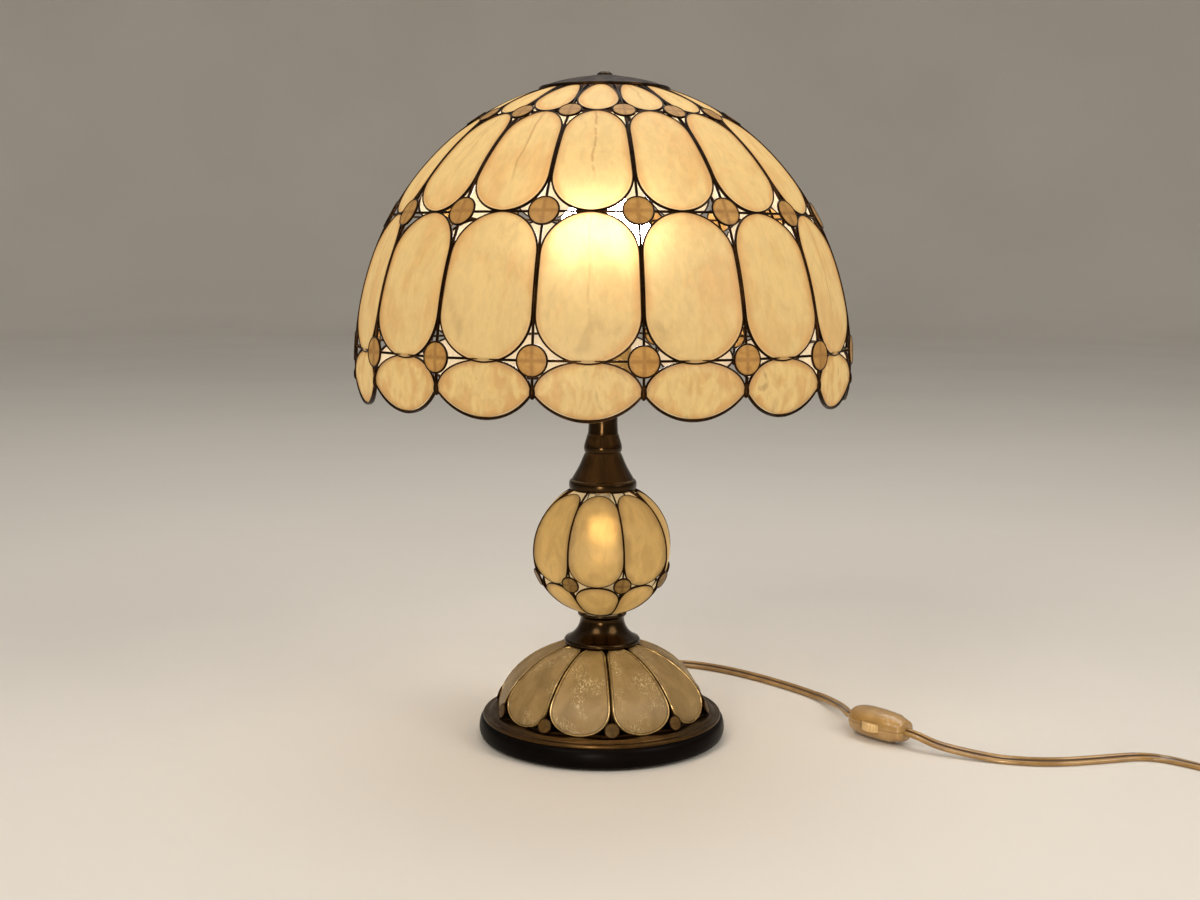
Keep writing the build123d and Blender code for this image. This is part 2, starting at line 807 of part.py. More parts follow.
def flat_cord(path, across=None):
    """Twin cord along a path, its wide side level and a groove between its two cores."""
    half, thick = cord_width / 2, cord_thickness / 2
    core = half * 0.58
    groove = thick * 0.75
    profile = [(half, 0), (core, thick), (0, groove), (-core, thick),
               (-half, 0), (-core, -thick), (0, -groove), (core, -thick)]
    return swept(path, profile, across)


def laid(route):
    """Path through the points of a route, each corner an arc as large as its two runs allow."""
    points = [Vector(*point) for point in route]
    radii = []
    for before, corner, after in zip(points, points[1:], points[2:]):
        turn = (corner - before).get_angle(after - corner)
        run = min((corner - before).length, (after - corner).length)
        radii.append(0.45 * run / tan(radians(turn / 2)))
    print("radii of a stretch of cord:", [round(radius) for radius in radii])
    return Wire(FilletPolyline(*points, radius=radii).edges())


def make_cord_in_base():
    root = base_radius - 9.0
    tip = base_radius + bushing_length
    side = base_radius + seat_gap
    bushing = turned(
        Polyline(
            (0, root),
            (gland_radius, root),
            (gland_radius, side),
            (bushing_root_radius, side),
            (bushing_root_radius, side + 4.0),
            (bushing_tip_radius, tip),
            (0, tip),
            (0, root),
        ),
        16,
    )
    bushing = Pos(0, 0, exit_z) * Rot(-90, 0, 0) * bushing
    slot = Box(
        cord_width + 2 * seat_gap,
        4 * bushing_length,
        cord_thickness + 2 * seat_gap,
    )
    parts["cord_bushing"] = bushing - Pos(0, tip, exit_z) * slot
    low = felt_thickness + seat_gap + cord_thickness / 2
    core_z = holder_z + rod_above_saddle + 2 * seat_gap
    route = [(tip, exit_z), (root - 8, exit_z), (root - 30, low), (0, low), (0, core_z + 4.0)]
    path = Plane.YZ * FilletPolyline(*route, radius=[20, 20, 4])
    parts["cord_inside"] = flat_cord(Wire(path.edges()), Vector(1, 0, 0))


def make_cord():
    table = cord_thickness / 2
    tip = base_radius + bushing_length
    heading = Vector(*switch_heading)
    coil_first, coil_way = coil_stations()[0]
    coil_entry = coil_first - coil_way * coil_lead
    entry = switch_place.from_local_coords(Vector(-switch_length / 2, 0, 0))
    way_out = switch_place.from_local_coords(Vector(switch_length / 2, 0, 0))
    to_switch = laid([
        (0, tip, exit_z),
        (0, tip + 8, exit_z),
        (1.2, tip + 18, exit_z - 2.6),
        (5, tip + 29, table),
        (15, 142, table),
        (33, 155, table),
        (59, 157, table),
        (86, 140, table),
        (112, 114, table),
        (135, 84, table),
        (147.5, 66, table),
        (153.2, 50, table),
        (154.0, 39.5, table + 0.8),
        (152.6, 28.5, switch_z - 2.4),
        entry - heading * 9,
        entry,
    ])
    parts["cord_to_switch"] = flat_cord(to_switch)
    to_coil = laid([
        way_out,
        way_out + heading * 8,
        (202, -41, table + 1.4),
        (215, -48, table),
        (238, -58.5, table),
        (265, -61, table),
        (297, -54.5, table),
        (328, -45.5, table),
        (350, -62, table),
        coil_entry - coil_way * 20,
        coil_entry,
    ])
    parts["cord_to_coil"] = flat_cord(to_coil)


def coil_spot(radius, angle, layer=0):
    x = coil_centre[0] + radius * cos(radians(angle))
    y = coil_centre[1] + radius * sin(radians(angle))
    return Vector(x, y, cord_thickness / 2 + layer * coil_layer)


def biarc(start, start_way, stop, stop_way):
    """Two arcs that leave one point and reach another along given unit directions."""
    reach, both = stop - start, start_way + stop_way
    square = 2 * (1 - start_way.dot(stop_way))
    along = reach.dot(both)
    size = (sqrt(along ** 2 + square * reach.dot(reach)) - along) / square
    first, second = start + start_way * size, stop - stop_way * size
    middle = (first + second) / 2
    middle_way = (second - first).normalized()
    return [
        TangentArc(start, middle, tangent=start_way),
        TangentArc(middle, stop, tangent=middle_way),
    ]


def coil_stations():
    """Spot and direction at each half turn of the coil.

    It spirals in on the lower layer, climbs on an inner ring of its own, and spirals out above.
    """
    last_in = 2 * coil_turns - 1
    steps = [-coil_pitch / 2] * last_in + [-coil_pitch, 0, coil_pitch] + [coil_pitch / 2] * last_in + [0]
    stations = []
    radius, angle = coil_radius, coil_start
    for half_turn, step in enumerate(steps):
        layer = 0 if half_turn <= 2 * coil_turns else 1
        way = Vector(-sin(radians(angle)), cos(radians(angle)), 0)
        stations.append((coil_spot(radius, angle, layer), way))
        radius += step
        angle += 180
    return stations


def make_coil():
    stations = coil_stations()
    edges = []
    for (start, start_way), (stop, stop_way) in zip(stations, stations[1:]):
        edges += biarc(start, start_way, stop, stop_way)
    first, first_way = stations[0]
    last, last_way = stations[-1]
    least = coil_gap(edges)
    path = Wire([
        Line(first - first_way * coil_lead, first),
        *edges,
        Line(last, last + last_way * coil_lead),
    ])
    parts["cord_coil"] = flat_cord(path)
    print("cord in the coil:", round(path.length), "least gap:", round(least, 2))


def coil_gap(edges):
    """Least gap between stretches of the coil that lie more than a third of an inner turn apart."""
    spacing = 3.0
    points = []
    for edge in edges:
        count = max(2, round(edge.length / spacing))
        points += [edge.position_at(k / count) for k in range(count)]
    near = round(coil_radius / spacing)
    least = coil_radius
    for k, spot in enumerate(points):
        for other in points[k + near:]:
            side_gap = hypot(other.X - spot.X, other.Y - spot.Y) - cord_width
            layer_gap = abs(other.Z - spot.Z) - cord_thickness
            least = min(least, max(side_gap, layer_gap))
    return least


def make_switch():
    def blank(length, facets=12):
        half = length / 2
        return skin([
            [
                Vector(
                    way * half,
                    switch_radius * share * cos(turn),
                    switch_flat * share * sin(turn),
                )
                for turn in [2 * pi * (k + 0.5) / facets for k in range(facets)]
            ]
            for way, share in switch_swell
        ])

    housing = blank(switch_length)
    wheel_clear = wheel_radius + 0.4
    room = disc(wheel_clear, -wheel_height / 2 - 0.2, wheel_height + 0.4)
    room = Pos(0, -wheel_out, 0) * room
    pin_height = wheel_height + 4.0
    pin_room = Pos(0, -wheel_out, 0) * disc(wheel_pin_radius + slide_gap, -pin_height / 2 - 0.2, pin_height + 0.4)
    contact_room = Pos(0, wheel_clear - wheel_out + 1.2, 0) * Box(2 * contact_reach + 0.4, 1.4, wheel_height)
    screw_x = switch_length * 0.3
    shank = Pos(screw_x, 0, 0) * disc(screw_radius + slide_gap, -switch_flat, switch_flat + 4.0)
    head = Pos(screw_x, 0, 0) * disc(2 * screw_radius + slide_gap, -switch_flat, 3.0)
    hollow = housing - room - pin_room - contact_room - shank - head
    span = 2 * switch_length
    upper = Pos(0, 0, span / 2 + seat_gap / 2) * Box(span, span, span)
    lower = Pos(0, 0, -span / 2 - seat_gap / 2) * Box(span, span, span)
    wheel = disc(wheel_radius, -wheel_height / 2, wheel_height)
    wheel = wheel.fuse(disc(wheel_pin_radius, -pin_height / 2, pin_height))
    notch = Box(1.6, 1.0, 2 * wheel_height)
    notches = [
        Rot(0, 0, 360 * k / wheel_notches) * Pos(0, wheel_radius, 0) * notch for k in range(wheel_notches)
    ]
    wheel = Pos(0, -wheel_out, 0) * wheel.cut(*notches)
    contact = Box(contact_reach - 0.6, 1.0, wheel_height - 1.0)
    contact_y = wheel_clear - wheel_out + 1.2
    contacts = [Pos(side * (contact_reach / 2 + 0.1), contact_y, 0) * contact for side in (-1, 1)]
    screw = disc(2 * screw_radius, -switch_flat + 1.2, 1.7)
    screw = Pos(screw_x, 0, 0) * screw.fuse(disc(screw_radius, -switch_flat + 2.9, switch_flat + 0.9))
    place = switch_place.location
    parts["switch_top_shell"] = place * (hollow & upper)
    parts["switch_bottom_shell"] = place * (hollow & lower)
    parts["switch_wheel"] = place * wheel
    parts["switch_contacts"] = Compound([place * contact for contact in contacts])
    parts["switch_screw"] = place * screw


def make_plug():
    end, way = coil_stations()[-1]
    start = end + way * coil_lead
    rise = plug_height / 2 - start.Z
    ahead = [
        start,
        start + way * 9,
        start + way * 19 + Vector(1.6, 0.8, rise * 0.5),
        start + way * 29 + Vector(2.6, 1.3, rise),
    ]
    ahead.append(ahead[-1] + way * 9)
    parts["cord_to_plug"] = flat_cord(laid([tuple(point) for point in ahead]))
    place = Plane(origin=ahead[-1], x_dir=way, z_dir=(0, 0, 1))
    stations = [(0, 8.0, 6.0), (9, 10.5, 8.0), (15, plug_width * 0.9, plug_height * 0.86),
                (20, plug_width, plug_height), (plug_length, plug_width, plug_height)]
    body = skin([plug_section(x, width / 2, height / 2) for x, width, height in stations])
    parts["plug_body"] = place.location * body
    blade = Box(blade_length, blade_thickness, blade_width, align=(Align.MIN, Align.CENTER, Align.CENTER))
    blades = [
        place.location * Pos(plug_length, side * blade_pitch / 2, 0) * blade for side in (-1, 1)
    ]
    parts["plug_blades"] = Compound(blades)


def plug_section(x, half_width, half_height):
    """Rectangle with cut corners across the plug."""
    cut = half_height * 0.3
    w, h = half_width, half_height
    corners = [(w, h - cut), (w - cut, h), (cut - w, h), (-w, h - cut),
               (-w, cut - h), (cut - w, -h), (w - cut, -h), (w, cut - h)]
    return [Vector(x, y, z) for y, z in corners]


make_foot()
make_base_dome()
make_globe()
make_lampholder()
make_harp()
make_finial()
make_shade()
make_cord_in_base()
make_cord()
make_coil()
make_switch()
make_plug()

os.makedirs("parts", exist_ok=True)
for name, shape in parts.items():
    export_step(shape, f"parts/{name}.step")
print("parts", len(parts), "cap at", round(cap_z, 1), "height", round(cap_z + finial_height, 1))
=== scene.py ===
import json
from math import cos, pi, radians, sin, sqrt

import bpy
import numpy as np
from mathutils import Matrix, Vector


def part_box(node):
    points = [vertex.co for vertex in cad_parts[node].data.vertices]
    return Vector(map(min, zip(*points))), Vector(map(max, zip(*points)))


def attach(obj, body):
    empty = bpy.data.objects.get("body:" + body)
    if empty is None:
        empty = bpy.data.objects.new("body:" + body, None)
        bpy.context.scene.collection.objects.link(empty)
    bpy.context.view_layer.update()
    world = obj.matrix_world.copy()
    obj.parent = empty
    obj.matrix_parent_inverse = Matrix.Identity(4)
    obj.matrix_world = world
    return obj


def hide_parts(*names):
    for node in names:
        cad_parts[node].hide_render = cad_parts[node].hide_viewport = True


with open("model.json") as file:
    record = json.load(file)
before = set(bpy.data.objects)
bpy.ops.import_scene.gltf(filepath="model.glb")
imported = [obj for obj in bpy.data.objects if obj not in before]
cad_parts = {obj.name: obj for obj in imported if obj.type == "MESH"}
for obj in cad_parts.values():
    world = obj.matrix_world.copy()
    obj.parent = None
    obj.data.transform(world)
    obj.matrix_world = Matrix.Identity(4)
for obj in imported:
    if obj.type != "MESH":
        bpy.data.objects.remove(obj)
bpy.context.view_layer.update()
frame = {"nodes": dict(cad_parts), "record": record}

mm = 0.001
bodyOf = {node: body for body, members in frame["record"]["behaviour"]["bodies"].items() for node in members}
print("frame loaded:", len(frame["nodes"]), "nodes")


# Camera, where the photograph was taken from
camera = {
    "place": (-0.00183, -0.96731, 0.30089),
    "pitch": 0.1243,        # radians below the level
    "roll": 0.0045,
    "lens": 47.486,
}

cameraData = bpy.data.cameras.new("camera")
cameraData.lens = camera["lens"]
cameraObject = bpy.data.objects.new("camera", cameraData)
cameraObject.matrix_world = (
    Matrix.Translation(camera["place"])
    @ Matrix.Rotation(pi / 2 - camera["pitch"], 4, "X")
    @ Matrix.Rotation(camera["roll"], 4, "Z")
)
bpy.context.scene.collection.objects.link(cameraObject)
bpy.context.scene.camera = cameraObject
bpy.context.scene.view_settings.view_transform = "Standard"


# Meshes from grids of points, in millimetres

sharpAngle = radians(40)    # an edge whose faces turn by more than this stays sharp
mapUnit = 100               # millimetres in one unit of a piece's own map
edgeUnit = 10               # millimetres in one unit of the layer that tells how far the edge is
eye = 0.3                   # radius of the first or last loop of a turned piece that reaches its axis


def flattened(values, joined):
    # Each copy's rows one after another and, where they don't run round, the means of its first and last loop
    flat = values.reshape(len(values), -1, *values.shape[3:])
    return flat if joined else np.concatenate([flat, values[:, [0, -1]].mean(2)], 1)


def gridPiece(name, surfaces, smooth=True):
    # Joins surfaces into one mesh. Each is copies x rows x columns of points: columns run round a loop, and
    # the rows either run round too, or end in a fan of triangles about the mean of the last loop. A copy
    # whose signed volume, the sum of a . (b x c) / 6 over its triangles, is negative is turned over.
    spots, corners, sizes, layers, uvs = [], [], [], {}, []
    first = 0
    layerNames = sorted({key for surface in surfaces for key in surface.get("layers", {})})
    for surface in surfaces:
        points = np.asarray(surface["points"], float)
        if points.ndim == 3:
            points = points[None]
        copies, rows, columns, _ = points.shape
        joined = surface.get("joined", False)
        body = flattened(points, joined)
        each = body.shape[1]
        row = np.arange(rows if joined else rows - 1)[:, None]
        loop = np.arange(columns)
        turned = (loop + 1) % columns
        here, following = row * columns, (row + 1) % rows * columns
        quads = np.stack([here + loop, here + turned, following + turned, following + loop], -1)
        quads = quads.reshape(-1, 4)
        fans = np.zeros((0, 3), int)
        if not joined:
            last = (rows - 1) * columns
            foot = np.stack([np.full(columns, each - 2), turned, loop], -1)
            head = np.stack([np.full(columns, each - 1), last + loop, last + turned], -1)
            fans = np.concatenate([foot, head])
        triangles = np.concatenate([quads[:, [0, 1, 2]], quads[:, [0, 2, 3]], fans])
        a, b, c = (body[0][triangles[:, k]] for k in range(3))
        if np.einsum("ij,ij->", a, np.cross(b, c)) < 0:
            quads, fans = quads[:, ::-1], fans[:, ::-1]
        offsets = first + each * np.arange(copies)[:, None, None]
        for shape in (quads, fans):
            if len(shape):
                corners.append((shape[None] + offsets).reshape(-1))
                sizes.append(np.full(copies * len(shape), shape.shape[1]))
        spots.append(body.reshape(-1, 3))
        for key in layerNames:
            value = np.broadcast_to(surface.get("layers", {}).get(key, 0.0), (copies, rows, columns))
            layers.setdefault(key, []).append(flattened(value, joined).reshape(-1))
        uv = np.broadcast_to(surface.get("uv", 0.0), (copies, rows, columns, 2))
        uvs.append(flattened(uv, joined).reshape(-1, 2))
        first += each * copies
    spots, corners, sizes = np.concatenate(spots) * mm, np.concatenate(corners), np.concatenate(sizes)
    mesh = bpy.data.meshes.new(name)
    mesh.vertices.add(len(spots))
    mesh.vertices.foreach_set("co", spots.ravel())
    mesh.loops.add(len(corners))
    mesh.loops.foreach_set("vertex_index", corners)
    mesh.polygons.add(len(sizes))
    mesh.polygons.foreach_set("loop_start", np.concatenate([[0], np.cumsum(sizes)[:-1]]))
    mesh.polygons.foreach_set("use_smooth", np.full(len(sizes), smooth))
    mesh.update(calc_edges=True)
    layer = mesh.uv_layers.new(name="pieceMap")
    layer.data.foreach_set("uv", np.concatenate(uvs)[corners].ravel())
    for key, values in layers.items():
        attribute = mesh.attributes.new(key, "FLOAT", "POINT")
        attribute.data.foreach_set("value", np.concatenate(values).astype(np.float32))
    if smooth:
        mesh.set_sharp_from_angle(angle=sharpAngle)
    piece = bpy.data.objects.new(name, mesh)
    bpy.context.scene.collection.objects.link(piece)
    return piece


def fit(piece, material, slot, *cadNodes, body=None):
    # Material, body and the CAD nodes that the piece stands for; the slot is not used
    piece.data.materials.clear()
    piece.data.materials.append(material)
    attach(piece, body or bodyOf[cadNodes[0]])
    if cadNodes:
        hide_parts(*cadNodes)
    return piece


def addPiece(name, surfaces, material, slot, *cadNodes, body=None):
    # A piece of several nodes' worth names them all; one that stands for none names its body instead
    return fit(gridPiece(name, surfaces), material, slot, *cadNodes, body=body)


def lengthsAlong(path):
    # Way from the first point of a path to each of its points
    return np.concatenate([[0], np.cumsum(np.linalg.norm(np.diff(path, axis=0), axis=1))])


def circle(count):
    return np.linspace(0, 2 * pi, count, endpoint=False)


def smoothRun(run, steps=6):
    # Catmull-Rom curve through a run of points: each stretch is a cubic whose slope at a point is half the
    # way between the point's two neighbours. A run of two points is a straight line.
    points = np.asarray(run, float)
    if len(points) == 2:
        return points
    padded = np.vstack([2 * points[0] - points[1], points, 2 * points[-1] - points[-2]])
    a, b, c, d = (padded[k:len(points) - 1 + k, None] for k in range(4))
    t = np.linspace(0, 1, steps, endpoint=False)[None, :, None]
    square, cube = 2 * a - 5 * b + 4 * c - d, 3 * b - a - 3 * c + d
    curve = 0.5 * (2 * b + (c - a) * t + square * t ** 2 + cube * t ** 3)
    return np.vstack([curve.reshape(-1, points.shape[1]), points[-1:]])


def outlineOf(runs, closed=True, ease=0.3, steps=6):
    # Profile of radius and height from runs that meet in corners. Each run starts where the run before it
    # ends, so it is given without its first point; only the first run of an open outline is given whole. Each
    # corner is eased by a short parabola between points a little way along its two runs.
    lines = [
        smoothRun([runs[k - 1][-1], *run] if closed or k else run, steps) for k, run in enumerate(runs)
    ]
    kept = []
    for before, line in zip([lines[-1]] + lines[:-1], lines):
        start = line[:1]
        if closed or kept:
            back, ahead = before[-2] - line[0], line[1] - line[0]
            backSize, aheadSize = np.hypot(*back), np.hypot(*ahead)
            one = line[0] + back / backSize * min(ease, 0.4 * backSize)
            two = line[0] + ahead / aheadSize * min(ease, 0.4 * aheadSize)
            start = np.stack([one, (one + 2 * line[0] + two) / 4, two])
        kept += [start, line[1:-1]]
    if not closed:
        kept.append(lines[-1][-1:])
    return np.vstack(kept)


def turnedRows(outline, count=128, centre=(0, 0)):
    # Surface of revolution: x = r cos(turn), y = r sin(turn), z = height
    turns = circle(count)
    radius, height = outline[:, 0, None], outline[:, 1, None]
    return np.stack([
        centre[0] + radius * np.cos(turns), centre[1] + radius * np.sin(turns), height + 0 * turns
    ], -1)


def turnedSurface(outline, closed=True, count=128, centre=(0, 0)):
    # Its own map runs once round the piece, and along its outline
    around = np.linspace(0, 1, count, endpoint=False)
    uv = np.stack(np.broadcast_arrays(around[None, :], lengthsAlong(outline)[:, None] / mapUnit), -1)
    return {"points": turnedRows(outline, count, centre), "joined": closed, "uv": uv}


def addTurned(name, runs, material, slot, cadNode, closed=True, count=128, ease=0.3, steps=6):
    # Turned piece from the runs of its outline
    surface = turnedSurface(outlineOf(runs, closed, ease, steps), closed, count)
    return addPiece(name, [surface], material, slot, cadNode)


def unit(vectors):
    return vectors / np.linalg.norm(vectors, axis=-1, keepdims=True)


def sweptRows(path, outward, profile, closed=False):
    # Profile carried along a path: each point of the path plus the profile's x times the side and its y times
    # the outward direction, both square to the path
    if closed:
        ahead = np.roll(path, -1, -2) - np.roll(path, 1, -2)
    else:
        ahead = np.gradient(path, axis=-2)
    ahead = unit(ahead)
    side = unit(np.cross(ahead, outward))
    up = np.cross(side, ahead)
    return path[..., None, :] + side[..., None, :] * profile[:, :1] + up[..., None, :] * profile[:, 1:]


def roundProfile(halfWidth, halfHeight=None, sides=8):
    turns = 2 * pi * (np.arange(sides) + 0.5) / sides
    return np.stack([halfWidth * np.cos(turns), (halfHeight or halfWidth) * np.sin(turns)], -1)


def superellipse(turns, halfWidth, halfHeight, squareness):
    # Width and height at each turn: the sign of its cosine and sine times their size raised to 2 / squareness
    width, height = (np.sign(part) * abs(part) ** (2 / squareness) for part in (np.cos(turns), np.sin(turns)))
    return width * halfWidth, height * halfHeight


def roundAbout(dome, template, offset=0.0):
    # Copies of points about Z, one for each side of a dome; an offset of 0.5 puts them between the ribs
    turns = np.radians(dome["turn"] + (np.arange(dome["sides"]) + offset) * 360 / dome["sides"])
    cosine, sine = (f(turns).reshape(-1, *[1] * (template.ndim - 1)) for f in (np.cos, np.sin))
    x, y, z = template[None, ..., 0], template[None, ..., 1], template[None, ..., 2]
    return np.stack([x * cosine - y * sine, x * sine + y * cosine, z + 0 * cosine], -1)


# The three domes: the ribs of each follow an ellipse about its centre, a height above the table
shade = {"sides": 16, "turn": -14.5, "radius": 149.4, "rise": 167.4, "centre": 234.657,
         "ribWidth": 1.5, "ribDepth": 2.0, "ringWidth": 1.5}
globe = {"sides": 8, "turn": 16.9, "radius": 43.7, "rise": 41.0, "centre": 118.89,
         "ribWidth": 0.9, "ribDepth": 1.8, "ringWidth": 1.8}
baseDome = {"sides": 10, "turn": 5.2, "radius": 67.8, "rise": 52.4, "centre": 8.9,
            "ribWidth": 0.9, "ribDepth": 2.0, "ringWidth": 1.8}
levels = {
    "crown": 396.842, "ringA": 378.542, "ringB": 322.342, "ringC": 244.642, "hem": 212.242, "valley": 225.842,
    "globeHead": 156.5, "globeRondels": 103.19, "globeSplit": 101.39, "globeFoot": 79.361,
    "baseEye": 59.2, "baseRondels": 21.9, "baseFoot": 18.3,
}


def ellipseAngle(dome, z):
    return np.arcsin((z - dome["centre"]) / dome["rise"])


def ellipseSpot(dome, angle):
    return dome["radius"] * np.cos(angle), dome["centre"] + dome["rise"] * np.sin(angle)


def ellipseNormal(dome, angle):
    # Outward and upward parts of the ellipse's unit normal: (cos a / radius, sin a / rise) over its length
    out, up = np.cos(angle) / dome["radius"], np.sin(angle) / dome["rise"]
    size = np.hypot(out, up)
    return out / size, up / size


def ellipseSpeed(dome, angle):
    # Millimetres along the rib for each radian of the ellipse's angle
    return np.hypot(dome["radius"] * np.sin(angle), dome["rise"] * np.cos(angle))


# Points in a pane's outline and across it, and where its first point is
paneSteps = {"round": 14, "lens": 18, "across": 13, "firstTurn": radians(3), "firstShare": 0.05}
# What a pane has where its own settings don't say otherwise, in millimetres
paneUsual = {
    "middle": 9, "squareness": 2.0, "lowGap": 0.35, "highGap": 0.35, "thickness": 1.1, "crown": 0.5,
    "softness": 0.35, "headDip": 0.0, "headReach": 7.0, "rimWidth": 1.2, "rimDepth": 2.0, "footRim": 1.0,
}


def lensOutline(dome, pane, start, stop):
    # Below the corner an arc of a circle: the way in from the end is R(1 - cos t) and the half width R sin t,
    # with t up to twice the angle whose tangent is the rise over the half chord. Above it a superellipse.
    corner = ellipseAngle(dome, pane["corner"])
    radius, _ = ellipseSpot(dome, corner)
    half = radius * sin(pi / dome["sides"]) - pane["tuck"]
    last = 2 * np.arctan((corner - start) * ellipseSpeed(dome, corner) / half)
    turns = np.linspace(last * paneSteps["firstShare"], last, paneSteps["lens"])
    way, lowWidth = 1 - np.cos(turns), half * np.sin(turns) / sin(last)
    lower = start + (corner - start) * (way - way[0]) / (way[-1] - way[0])
    turns = np.linspace(paneSteps["firstTurn"], pi / 2, paneSteps["lens"])
    way, share = superellipse(turns, 1, 1, pane["squareness"])
    upper = corner + (stop - corner) * way[::-1]
    return np.concatenate([lower, upper[1:]]), np.concatenate([lowWidth, half * share[::-1][1:]])


def paneOutline(dome, pane):
    # Half width of a pane at angles along its rib: the way between two ribs less the rim, times the share
    # sin(t) raised to 2 / squareness in the round ends, where the way in from the end is 1 - cos(t) raised
    # the same way. A lens has a corner instead, at a height between two arcs.
    start = ellipseAngle(dome, pane["low"])
    stop = ellipseAngle(dome, pane["high"])
    start = start + pane["lowGap"] / ellipseSpeed(dome, start)
    stop = stop - pane["highGap"] / ellipseSpeed(dome, stop)
    if "corner" in pane:
        return lensOutline(dome, pane, start, stop)
    turns = np.linspace(paneSteps["firstTurn"], pi / 2, paneSteps["round"])
    way, share = superellipse(turns, 1, 1, pane["squareness"])
    way = 1 - way
    way[0] = 0
    lower = start + pane["lowRound"] * way / ellipseSpeed(dome, start)
    upper = (stop - pane["highRound"] * way / ellipseSpeed(dome, stop))[::-1]
    if lower[-1] > upper[0]:
        seam = (lower[-1] + upper[0]) / 2
        angles = np.concatenate([
            start + (lower - start) * (seam - start) / (lower[-1] - start),
            (stop - (stop - upper) * (stop - seam) / (stop - upper[0]))[1:],
        ])
        shares = np.concatenate([share, share[::-1][1:]])
    else:
        middle = np.linspace(lower[-1], upper[0], pane["middle"])[1:-1]
        angles = np.concatenate([lower, middle, upper])
        shares = np.concatenate([share, np.ones(len(middle)), share[::-1]])
    radius, _ = ellipseSpot(dome, angles)
    return angles, shares * (radius * sin(pi / dome["sides"]) - pane["tuck"])


def frontPoints(across, out, up):
    return np.stack(np.broadcast_arrays(across, -out, up), -1)


def headDip(dome, pane, angles):
    # A head that tucks in behind the row above: a dip over its last few millimetres, a ramp raised to 1.5
    toHead = (angles[-1] - angles) * ellipseSpeed(dome, angles)
    return pane["headDip"] * np.clip(1 - toHead / pane["headReach"], 0, 1) ** 1.5


def paneSurfaces(dome, pane, seed):
    # Pane: bent along its length with the ribs, and crowned a little across. Front and back are half a
    # thickness to each side of the middle surface, along its normal. The glow is the light from the bulb that
    # falls on it, slope over distance squared, softened by a power.
    angles, halfWidth = paneOutline(dome, pane)
    radius, z = ellipseSpot(dome, angles)
    normalOut, normalUp = (part[:, None] for part in ellipseNormal(dome, angles))
    out = radius * cos(pi / dome["sides"])
    share = np.sin(np.linspace(-1, 1, paneSteps["across"]) * pi / 2)
    across = halfWidth[:, None] * share
    crown = pane["crown"] * (1 - share ** 2) * np.minimum(halfWidth / halfWidth.max(), 1)[:, None]
    crown = crown - headDip(dome, pane, angles)[:, None]
    front, back = (
        frontPoints(across, out[:, None] + lift * normalOut, z[:, None] + lift * normalUp)
        for lift in (crown + pane["thickness"] / 2, crown - pane["thickness"] / 2)
    )
    template = np.concatenate([front, back[:, ::-1]], 1)
    length = lengthsAlong(np.stack([out, z], -1))
    slope = np.gradient(halfWidth, length)
    edge = (halfWidth[:, None] - abs(across)) / np.sqrt(1 + slope[:, None] ** 2)
    edge = np.concatenate([edge, edge[:, ::-1]], 1)
    flat = np.concatenate([across, across[:, ::-1]], 1) / mapUnit
    uv = np.stack([flat, np.broadcast_to(length[:, None] / mapUnit, flat.shape)], -1)
    reach = np.array(pane["light"]) - template
    distance = np.linalg.norm(reach, axis=-1)
    facing = abs(normalUp * reach[..., 2] - normalOut * reach[..., 1]) / distance
    glow = (np.clip(facing, 0.05, 1) / distance ** 2 / pane["lightUnit"]) ** pane["softness"]
    tone = np.random.default_rng(seed).random(dome["sides"])[:, None, None]
    inner = np.broadcast_to(np.repeat([0.0, 1.0], across.shape[1]), flat.shape)
    return {
        "points": roundAbout(dome, template, 0.5),
        "uv": uv,
        "layers": {"edge": edge / edgeUnit, "glow": glow, "tone": tone, "inner": inner,
                   "along": length[:, None] / length[-1]},
    }


def rimSurface(dome, pane):
    # Rim: a round wire along the pane's outline. Where the pane has a foot rim above one, it is that many
    # times thicker at the foot, and falls back to its own thickness at half the pane's height.
    angles, halfWidth = paneOutline(dome, pane)
    radius, z = ellipseSpot(dome, angles)
    normalOut, normalUp = ellipseNormal(dome, angles)
    dip = headDip(dome, pane, angles)
    out = radius * cos(pi / dome["sides"]) - dip * normalOut
    z = z - dip * normalUp
    order = np.concatenate([np.arange(len(angles)), np.arange(len(angles))[::-1]])
    side = np.repeat([1.0, -1.0], len(angles))
    path = frontPoints(side * halfWidth[order], out[order], z[order])
    outward = frontPoints(0 * side, normalOut[order], normalUp[order])
    share = np.linspace(0, 1, len(angles))
    foot = 1 + (pane["footRim"] - 1) * np.clip(1 - 2 * share, 0, 1) ** 0.6
    rows = sweptRows(path, outward, roundProfile(pane["rimWidth"] / 2, pane["rimDepth"] / 2), closed=True)
    rows = path[:, None] + (rows - path[:, None]) * foot[order][:, None, None]
    return {"points": roundAbout(dome, rows, 0.5), "joined": True}


def alongRib(dome, angles, profile, size=1.0):
    # Profile carried along the dome's ellipse, times a size at each angle, and copied to all the ribs
    path = frontPoints(0, *ellipseSpot(dome, angles))
    outward = frontPoints(0, *ellipseNormal(dome, angles))
    rows = sweptRows(path, outward, profile)
    return {"points": roundAbout(dome, path[:, None] + (rows - path[:, None]) * size)}


def ribSurface(dome, low, high, steps):
    # Rib: a wire along the dome's ellipse from one height to another
    angles = np.linspace(ellipseAngle(dome, low), ellipseAngle(dome, high), steps)
    return alongRib(dome, angles, roundProfile(dome["ribWidth"] / 2, dome["ribDepth"] / 2))


